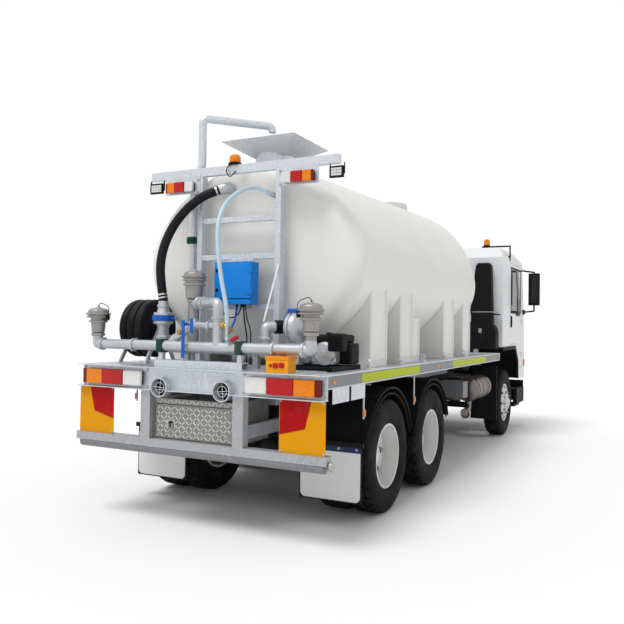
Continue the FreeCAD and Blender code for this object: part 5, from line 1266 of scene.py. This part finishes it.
class TANKER_OT_reel(bpy.types.Operator):
    """Makes the reel's three rows of black hose with the turns on its face, and its hub"""
    bl_idname = "tanker.reel"
    bl_label = "Hose reel"

    def execute(self, context):
        centre = at(0.59, 0, DECK + 0.327)
        start, width = 0.795, 0.265
        profile = [(start + 0.008, 0.15), (start + 0.003, 0.16), (start + 0.003, 0.176), (start + 0.012, 0.184),
            (start + 0.003, 0.192), (start + 0.003, 0.21), (start + 0.012, 0.218), (start + 0.002, 0.226),
            (start + 0.002, 0.246)]
        for row in range(3):
            first = start + width * row / 3
            for share, drop in ((0.06, 0.016), (0.18, 0.005), (0.36, 0), (0.64, 0), (0.82, 0.005), (0.94, 0.016)):
                profile.append((first + width / 3 * share, 0.275 - drop))
            if row < 2:
                profile.append((first + width / 3, 0.238))
        end = start + width
        profile += [(end - 0.001, 0.246), (end - 0.001, 0.15), (end - 0.008, 0.14), (start + 0.008, 0.14),
            (start + 0.008, 0.15)]
        complete("reel_hose_rows", spun(profile, centre, Y, sides=64), "hose_rubber", "hose_reel", node="hose_reel")
        hub = spun([(start + 0.012, 0.0215), (start + 0.012, 0.06), (start + 0.022, 0.066), (start + 0.022, 0.142),
            (end - 0.022, 0.142), (end - 0.012, 0.066), (end - 0.012, 0.0215), (start + 0.012, 0.0215)], centre, Y,
            sides=40)
        first = bolt(centre + Vector((0.1, start + 0.022, 0)), (0, -1, 0), 0.01)
        complete("reel_hub", [hub, ring_of(first, centre, Y, 6)], "chassis_black", "hose_reel")
        return {"FINISHED"}


# ---- Mast lights ---------------------------------------------------------------------------------------
def work_light(y0, y1, z0, z1):
    """A square LED lamp with cooling ribs on a yoke, and its grid of lenses, as two pieces."""
    body = block((0.668, y0, z0), (0.7, y1, z1), 0.006, 3)
    edit(body)
    choose(body, lambda middle, normal: normal.x < -0.99)
    bpy.ops.mesh.inset(thickness=0.008)
    bpy.ops.mesh.extrude_region_move(TRANSFORM_OT_translate={"value": (0.006, 0, 0)})
    leave()
    ribs = [block((0.698, y0 + 0.012 + 0.016 * step, z0 + 0.012), (0.712, y0 + 0.018 + 0.016 * step, z1 - 0.012),
        0.001, 1) for step in range(int((y1 - y0 - 0.03) / 0.016) + 1)]
    yoke = [block((0.684, y, z0 + 0.03), (0.704, y + 0.004, z1 + 0.028), 0.001, 1) for y in (y0 - 0.005, y1 + 0.001)]
    span = (y1 - y0 - 0.028) / 4
    grid = [block((0.67, y0 + 0.015 + span * column, z0 + 0.015 + (z1 - z0 - 0.028) / 3 * row),
        (0.676, y0 + 0.013 + span * (column + 1), z0 + 0.013 + (z1 - z0 - 0.028) / 3 * (row + 1)), 0.003, 2)
        for column in range(4) for row in range(3)]
    return [body] + ribs + yoke, grid


class TANKER_OT_mast_lights(bpy.types.Operator):
    """Makes the beacon, the two work lights, the stay and the bolts of the mast"""
    bl_idname = "tanker.mast_lights"
    bl_label = "Mast lights"

    def execute(self, context):
        top = DECK + 1.767 + 0.08
        stand = (0.725, 0.055, top)
        black, clear_lenses = [], []
        for y0, y1 in ((0.854, 1.006), (-1.07, -0.94)):
            dark, pale = work_light(y0, y1, 2.985, 3.085)
            black += dark
            clear_lenses += pale
        base = spun([(0, 0), (0, 0.062), (0.012, 0.064), (0.022, 0.058), (0.026, 0)], stand, Z)
        loop = bent([(0.7, 0.075, top + 0.006), (0.68, 0.11, top - 0.01), (0.676, 0.12, top - 0.07),
            (0.678, 0.08, top - 0.12), (0.684, 0.04, top - 0.085), (0.699, 0.03, top - 0.06)], 0.005, 2)
        complete("mast_black_parts", black + [base, loop], "black_plastic")
        complete("work_light_lenses", clear_lenses, "lamp_clear")
        complete("mast_beacon", spun([(0.026, 0), (0.026, 0.052), (0.036, 0.054), (0.07, 0.052), (0.088, 0.044),
            (0.098, 0.028), (0.102, 0)], stand, Z), "lamp_amber")
        complete("mast_stay", rod((0.7, -0.44, 2.26), (0.44, -0.452, 1.748), 0.009, 16), "enamel_white")
        places = [(0.6945, y, z) for y in (0.447, -0.447) for z in (2.975, 3.09)]
        plates = bolts(places, BACK, 0.01)
        feet = bolts([(x, y, DECK + 0.012) for x in (0.668, 0.812) for y in (0.4, 0.45, -0.4, -0.45)], Z)
        shoes = [block((0.645, y - 0.05, DECK), (0.835, y + 0.05, DECK + 0.012)) for y in (0.425, -0.425)]
        complete("mast_bolts", [plates, feet], "bolt_zinc")
        complete("mast_shoes", shoes, "galvanised")
        return {"FINISHED"}


# ---- Deck and tank -------------------------------------------------------------------------------------
def slab(start, end, thick, y0, y1, bevel=0.003):
    """A strip of sheet seen on edge from the side: two (x, z) ends, its thickness below them and its width."""
    run = Vector((end[0] - start[0], 0, end[1] - start[1]))
    piece = block(Vector((0, y0, -thick)), Vector((run.length, y1, 0)), bevel)
    turn = Matrix.Rotation(-math.atan2(run.z, run.x), 4, "Y")
    piece.data.transform(Matrix.Translation(at(start[0], 0, start[1])) @ turn)
    return piece


class TANKER_OT_deck(bpy.types.Operator):
    """Makes the deck's rounded frame, the rail's lips, strips and markers, the tie-down rings and the tail's end"""
    bl_idname = "tanker.deck"
    bl_label = "Deck"

    def execute(self, context):
        for node, width in (("deck_frame", 0.003), ("light_mast", 0.003), ("underrun_bar", 0.003),
                ("reel_stand", 0.002)):
            finish = "steel_weathered" if node == "underrun_bar" else "galvanised"
            rounded(node + "_steel", node, width, 2, finish)
        edge, marker_posts = 1.246, (0.8, 2.11)
        lips = [block((0.078, 1.238, top - 0.011), (6.118, edge, top)) for top in (DECK, DECK - 0.099)]
        lips += [block((0.066, 0, top - 0.008), (0.082, edge, top)) for top in (DECK, DECK - 0.188)]
        complete("rail_lips", both_sides(lips), "galvanised")
        # Thin dark sheets over the recessed webs between the lips: painted shade inside the rail's channel.
        complete("rail_web_painted_shade", both_sides([block((0.086, 1.2385, DECK - 0.1), (6.112, 1.2408, DECK - 0.01), 0.0004,
            1)]), "dark_steel_and_painted_shade")
        # The tube under the underrun bar takes the dark zinc as painted shade.
        complete("underrun_tube", rod((0.0745, -1.235, 0.65), (0.0745, 1.22, 0.65), 0.044, 40, 0.004), "dark_steel_and_painted_shade")
        complete("side_strips", both_sides([block((x0, 1.2398, DECK - 0.094), (x1, 1.2418, DECK - 0.02), 0.0004, 1)
            for x0, x1 in ((0.74, 2.27), (3.52, 5.22))]), "strip_green")
        markers = [block((x - 0.032, 1.239, DECK - 0.072), (x + 0.032, 1.2455, DECK - 0.044), 0.004, 3)
            for x in (0.19, 2.91, 5.6)]
        markers += [block((x - 0.02, 1.236, 0.96), (x + 0.02, edge, 1.02), 0.004, 3) for x in marker_posts]
        complete("side_markers", both_sides(markers), "lamp_amber")
        hangers = [block((x - 0.008, 1.228, 0.94), (x + 0.008, 1.238, DECK - 0.105), 0.001) for x in marker_posts]
        lugs = []
        for x in (1.02, 1.83, 2.56, 3.33, 4.24, 4.86):
            lugs += [
                block((x - 0.04, 1.15, DECK), (x + 0.04, 1.205, DECK + 0.01)),
                block((x - 0.006, 1.155, DECK + 0.008), (x + 0.006, 1.2, DECK + 0.05)),
                spun([(0.006, 0.024), (0, 0.03), (-0.006, 0.024), (0, 0.018), (0.006, 0.024)],
                    (x, 1.18, DECK + 0.056), (1, 0.3, 0), sides=24),
            ]
        complete("tie_downs", both_sides(lugs + hangers), "galvanised")
        ball = spun([(-0.03, 0), (-0.03, 0.018), (-0.01, 0.018), (0, 0.03), (0.014, 0.036), (0.03, 0.03),
            (0.04, 0.014), (0.042, 0)], (0.0745, -1.262, 0.668), (0, -1, 0), 28)
        complete("tail_shackle", [ball, spun([(0.005, 0.02), (0, 0.025), (-0.005, 0.02), (0, 0.015), (0.005, 0.02)],
            (0.06, -1.275, 0.63), (1, 0.5, 0), sides=24)], "bolt_zinc")
        complete("tail_bolts", both_sides([bolts([(0.0785, y, z) for y in (0.495, 1.218)
            for z in (DECK - 0.028, DECK - 0.172)], BACK, 0.009)]), "bolt_zinc")
        return {"FINISHED"}


class TANKER_OT_tank(bpy.types.Operator):
    """Makes the tank's rounded legs with their faces and ribs, the manhole ring and its lid"""
    bl_idname = "tanker.tank"
    bl_label = "Tank"

    def execute(self, context):
        rounded("tank_buttresses", "tank_legs", 0.012, 3, "tank_poly")
        faces = []
        for x, long, top in ((1.2, 0.42, 2.24), (1.98, 0.39, 2.24), (3.5, 0.44, 2.24), (4.38, 0.36, 2.24),
                (2.37, 0.22, 1.822)):
            faces += [
                block((x + 0.002, 1.01, DECK + 0.052), (x + long - 0.002, 1.132, top), sizes().leg_round, 4),
                block((x + long - 0.075, 1.06, DECK + 0.054), (x + long - 0.045, 1.146, top - 0.03), 0.012, 3),
            ]
        complete("leg_faces", both_sides(faces), "tank_poly")
        rounded("manhole", "tank_manway", 0.004, 2, "tank_poly")
        lid = spun([(0, 0), (0, 0.272), (0.004, 0.279), (0.014, 0.28), (0.022, 0.274), (0.024, 0.25), (0.018, 0.24),
            (0.018, 0.12), (0.024, 0.105), (0.025, 0)], (4.5, 0, 3.405), Z, sides=64)
        complete("hatch_lid_skin", [lid, ring_of(block((4.62, -0.006, 3.422), (4.742, 0.006, 3.429), 0.002),
            (4.5, 0, 0), Z, 8)], "tank_poly", "hatch_lid")
        return {"FINISHED"}


class TANKER_OT_undercarriage(bpy.types.Operator):
    """Makes the mudguards' beads, the exhaust, the dosing box, the fuel tank and the rounded chassis pieces"""
    bl_idname = "tanker.undercarriage"
    bl_label = "Undercarriage"

    def execute(self, context):
        beads = []
        for x in (REAR_AXLE, MIDDLE_AXLE):
            for radius, y in ((0.612, 1.229), (0.56, 1.222)):
                turns = [math.radians(15 + 10 * step) for step in range(16)]
                beads.append(bent([(x - radius * math.cos(turn), y, 0.545 + radius * math.sin(turn))
                    for turn in turns], 0.009, 4))
        complete("guard_beads", both_sides(beads), "black_plastic")
        for node, width in (("chassis_rails", 0.003), ("rear_axles", 0.006), ("front_axle", 0.006),
                ("leaf_springs", 0.003)):
            rounded(node + "_black", node, width, 2, "chassis_black")
        centre = at(0, -1.05, 0.875)
        profile = [(4.88, 0), (4.88, 0.06), (4.892, 0.12), (4.912, 0.15), (4.924, 0.16), (4.928, 0.169),
            (4.942, 0.169), (4.946, 0.162)]
        for bead in (5.16, 5.24, 5.32, 5.44, 5.52):
            profile += [(bead - 0.012, 0.162), (bead - 0.006, 0.169), (bead + 0.006, 0.169), (bead + 0.012, 0.162)]
        profile += [(5.64, 0.162), (5.644, 0.169), (5.658, 0.169), (5.662, 0.16), (5.68, 0.14), (5.7, 0.08), (5.7, 0)]
        can = spun(profile, centre, X, sides=56)
        bands = [spun([(x, 0.163), (x, 0.1695), (x + 0.045, 0.1695), (x + 0.045, 0.163), (x, 0.163)], centre, X,
            sides=56) for x in (5.02, 5.58)]
        outlet = bent([(4.99, -1.05, 0.74), (4.985, -1.052, 0.66), (4.93, -1.06, 0.605), (4.8, -1.08, 0.596),
            (4.64, -1.1, 0.596), (4.48, -1.14, 0.598)], 0.045, 8)
        tip = spun([(0, 0.046), (0, 0.06), (0.11, 0.062), (0.112, 0.06), (0.112, 0.052), (0.012, 0.05), (0, 0.046)],
            (4.5, -1.134, 0.598), (-0.95, -0.3, 0), sides=40)
        complete("exhaust_can", [can, outlet, tip, bent([(5.5, -0.94, 0.9), (5.5, -0.8, 0.905), (5.52, -0.66, 0.9),
            (5.56, -0.52, 0.88)], 0.05, 8)] + bands, "exhaust_steel", node="exhaust")
        complete("exhaust_hangers", [block((x, -0.96, 0.8), (x + 0.04, -0.505, 0.95), 0.004) for x in (5.022, 5.582)],
            "chassis_black")
        complete("dosing_box", [block((4.47, -1.12, 0.79), (4.7, -0.8, 1.01), 0.01, 3)] + [rod((4.472, y, z),
            (4.462, y, z), 0.012, 16) for y in (-1.06, -0.96) for z in (0.85, 0.95)], "dark_steel_and_painted_shade")
        complete("dosing_shelf", block((4.48, -0.9, 0.795), (4.69, -0.505, 0.825), 0.003), "chassis_black")
        rounded("fuel_tank_body", "fuel_tank", 0.03, 5, "chassis_black")
        return {"FINISHED"}


# ---- Cab -----------------------------------------------------------------------------------------------
class TANKER_OT_cab(bpy.types.Operator):
    """Makes the cab's rounded shell, its doors with their panes, trims and handles, and the arch trim"""
    bl_idname = "tanker.cab"
    bl_label = "Cab"

    def execute(self, context):
        rounded("cab_skin", "cab_shell", 0.016, 4, "cab_white", "cab")
        x0, x1, z0, z1 = 7.06, 7.86, 2.0, 2.72
        pane = block((x0 - 0.012, 1.188, z0 - 0.012), (x1 + 0.012, 1.194, z1 + 0.012), 0.001, 1)
        trim = [block((x0 - 0.022, 1.213, z), (x1 + 0.022, 1.226, z + 0.026), 0.003)
            for z in (z0 - 0.024, z1 - 0.002)]
        trim += [block((x, 1.213, z0 - 0.02), (x + 0.026, 1.226, z1 + 0.022), 0.003)
            for x in (x0 - 0.024, x1 - 0.002)]
        handle = block((7.03, 1.216, 1.745), (7.115, 1.232, 1.935), 0.007, 3)
        grip = block((7.054, 1.222, 1.762), (7.082, 1.241, 1.918), 0.006, 3)
        outer_trim = joined(trim + [handle, grip])
        line = block((7.01, 1.214, 1.58), (7.7, 1.224, 1.592), 0.003)
        for side, flip in SIDES:
            body = "cab_door_" + side
            skin = softened("door_" + side, 0.007, 3)
            complete(f"door_skin_{side}", [skin, copied(line, flip)], "cab_white", body, node="door_" + side)
            complete(f"door_glass_{side}", copied(pane, flip), "glass", body)
            complete(f"door_trim_{side}", copied(outer_trim, flip), "black_plastic", body)
        discard(pane, outer_trim, line)
        edge = [(6.424, 1.437), (7.448, 1.437), (7.702, 1.182), (7.722, 0.874)]
        arch = []
        for start, end in zip(edge, edge[1:]):
            arch += [
                slab(start, end, 0.014, 0.58, 1.216),
                slab(start, end, 0.06, 1.19, 1.23, 0.006),
            ]
        complete("arch_trim", both_sides(arch), "black_plastic", "cab")
        return {"FINISHED"}


class TANKER_OT_cab_parts(bpy.types.Operator):
    """Makes the snorkel, mirrors, roof bar with its beacon, bumper, lamps, front panel, wipers, seats and dashboard"""
    bl_idname = "tanker.cab_parts"
    bl_label = "Cab parts"

    def execute(self, context):
        upper = cut_away(softened("air_intake", 0.02, 4), (6.3, -1.0, 1.962), (0, 0, -1))
        box = block((6.184, -1.166, 1.402), (6.378, -0.724, 1.82), 0)
        edit(box)
        choose(box, lambda middle, way: abs(way.x) > 0.99 and middle.z > 1.81 and middle.y < -1.1, "EDGE")
        bpy.ops.mesh.bevel(offset=0.17, segments=10, affect="EDGES")
        choose(box, lambda middle, way: abs(way.x) > 0.99 and middle.z > 1.81 and middle.y > -0.8, "EDGE")
        bpy.ops.mesh.bevel(offset=0.06, segments=6, affect="EDGES")
        leave()
        complete("snorkel", [
            upper,
            box,
            block((6.2, -1.1, 1.8), (6.366, -0.77, 1.968), 0.016, 3),
            block((6.196, -1.2, 1.932), (6.372, -0.76, 1.95), 0.006, 3),
            rod((6.186, -0.93, 1.6), (6.172, -0.93, 1.6), 0.13, 40, 0.005),
            block((6.2, -0.8, 1.01), (6.32, -0.76, 1.41), 0.004),
            block((6.2, -0.8, 1.01), (6.32, -0.5, 1.05), 0.004),
        ], "black_plastic", node="air_intake")
        complete("snorkel_band", [block((6.212, -1.15, 1.966), (6.372, -0.79, 1.984), 0.004),
            block((6.166, -0.95, 1.65), (6.176, -0.9, 1.72), 0.003)], "stainless")
        complete("snorkel_vents", [block((6.228, -0.985, 2.13 + 0.06 * step), (6.236, -0.845, 2.15 + 0.06 * step),
            0.002) for step in range(9)], "black_plastic")
        rounded("mirror_bodies", "mirrors", 0.022, 4, "black_plastic", "cab")
        complete("mirror_panes", both_sides([block((7.961, 1.356, 2.17), (7.967, 1.504, 2.67), 0.002)]), "glass",
            "cab")
        rail_x = 6.9
        stand = (rail_x, -0.85, 3.074)
        rail = [
            rod((rail_x, -1.235, 3.07), (rail_x, -0.77, 3.07), 0.013, 16),
            rod((rail_x, -1.228, 3.074), (6.935, -1.222, 2.9), 0.012, 16),
            block((rail_x, -1.228, 2.83), (6.97, -1.204, 2.915), 0.005),
            rod((rail_x, -0.785, 3.006), (rail_x, -0.785, 3.07), 0.012, 16),
            spun([(0, 0), (0, 0.058), (0.014, 0.06), (0.022, 0.054), (0.026, 0)], stand, Z),
        ]
        complete("roof_rail", rail, "black_plastic", "cab", node="roof_bar")
        complete("roof_beacon", spun([(0.024, 0), (0.024, 0.048), (0.034, 0.05), (0.098, 0.048), (0.114, 0.042),
            (0.122, 0.026), (0.125, 0)], stand, Z), "lamp_amber", "cab")
        bumper = softened("front_bumper", 0.018, 4)
        for side in (1, -1):
            low, high = sorted((side * 0.74, side * 1.15))
            drilled(bumper, block((8.292, low, 0.52), (8.34, high, 0.7), 0))
        complete("bumper", bumper, "black_plastic", node="front_bumper")
        lamp_row = (0.83, 0.985)
        complete("lamp_rims", both_sides([spun([(0, 0.062), (0, 0.07), (0.01, 0.072), (0.01, 0.06), (0, 0.062)],
            (8.316, y, 0.61), X, sides=40) for y in lamp_row]), "stainless")
        complete("head_lamps", both_sides([spun([(0, 0), (0, 0.064), (0.008, 0.062), (0.016, 0.04), (0.019, 0)],
            (8.308, y, 0.61), X, sides=40) for y in lamp_row]), "lamp_clear")
        complete("turn_lamps", both_sides([block((8.296, 1.068, 0.54), (8.324, 1.138, 0.68), 0.005, 3)]),
            "lamp_amber")
        complete("corner_lamps", both_sides([block((8.18, 1.214, 1.06), (8.268, 1.236, 1.18), 0.008, 3)]),
            "lamp_amber", "cab")
        front = [block((8.276, 0, 0.96), (8.292, 0.9, 1.4), 0.004)]
        front += [block((8.284, 0, 1.02 + 0.085 * step), (8.302, 0.86, 1.055 + 0.085 * step), 0.005)
            for step in range(5)]
        front += [
            rod((8.262, 0.14, 1.88), (8.188, 0.64, 2.14), 0.007, 12),
            block((8.24, 0.11, 1.85), (8.275, 0.17, 1.9), 0.005),
        ]
        complete("front_panel", both_sides(front), "black_plastic", "cab")
        rounded("seats", "cab_seats", 0.035, 5, "seat_fabric", "cab")
        rounded("dash", "dashboard", 0.012, 3, "black_plastic", "cab")
        return {"FINISHED"}


OPERATORS = (
    TANKER_OT_finishes, TANKER_OT_stage, TANKER_OT_hoses, TANKER_OT_wheels, TANKER_OT_lamps, TANKER_OT_boards,
    TANKER_OT_toolbox, TANKER_OT_spray_bar, TANKER_OT_manifold, TANKER_OT_pump, TANKER_OT_cabinet, TANKER_OT_reel,
    TANKER_OT_mast_lights, TANKER_OT_deck, TANKER_OT_tank, TANKER_OT_undercarriage, TANKER_OT_cab,
    TANKER_OT_cab_parts,
)


# ---- Panel and main ------------------------------------------------------------------------------------
class TANKER_PT_panel(bpy.types.Panel):
    """Lists the tanker's sizes, colours and operators"""
    bl_idname = "TANKER_PT_panel"
    bl_label = "Water Tanker"
    bl_space_type = "VIEW_3D"
    bl_region_type = "UI"
    bl_category = "Tanker"

    def draw(self, context):
        for group in (context.scene.tanker_stage, context.scene.tanker_sizes, context.scene.tanker_colours):
            for name in group.bl_rna.properties.keys():
                if name not in ("rna_type", "name"):
                    self.layout.prop(group, name)
        for operator in OPERATORS:
            self.layout.operator(operator.bl_idname)


GROUPS = (TankerSizes, TankerColours, TankerStageSizes)


def register():
    for item in GROUPS + OPERATORS + (TANKER_PT_panel,):
        bpy.utils.register_class(item)
    bpy.types.Scene.tanker_sizes = bpy.props.PointerProperty(type=TankerSizes)
    bpy.types.Scene.tanker_colours = bpy.props.PointerProperty(type=TankerColours)
    bpy.types.Scene.tanker_stage = bpy.props.PointerProperty(type=TankerStageSizes)


def unregister():
    for name in ("tanker_sizes", "tanker_colours", "tanker_stage"):
        delattr(bpy.types.Scene, name)
    for item in reversed(GROUPS + OPERATORS + (TANKER_PT_panel,)):
        bpy.utils.unregister_class(item)


def main():
    register()
    for operator in OPERATORS:
        family, action = operator.bl_idname.split(".")
        getattr(getattr(bpy.ops, family), action)()


if __name__ == "__main__":
    main()
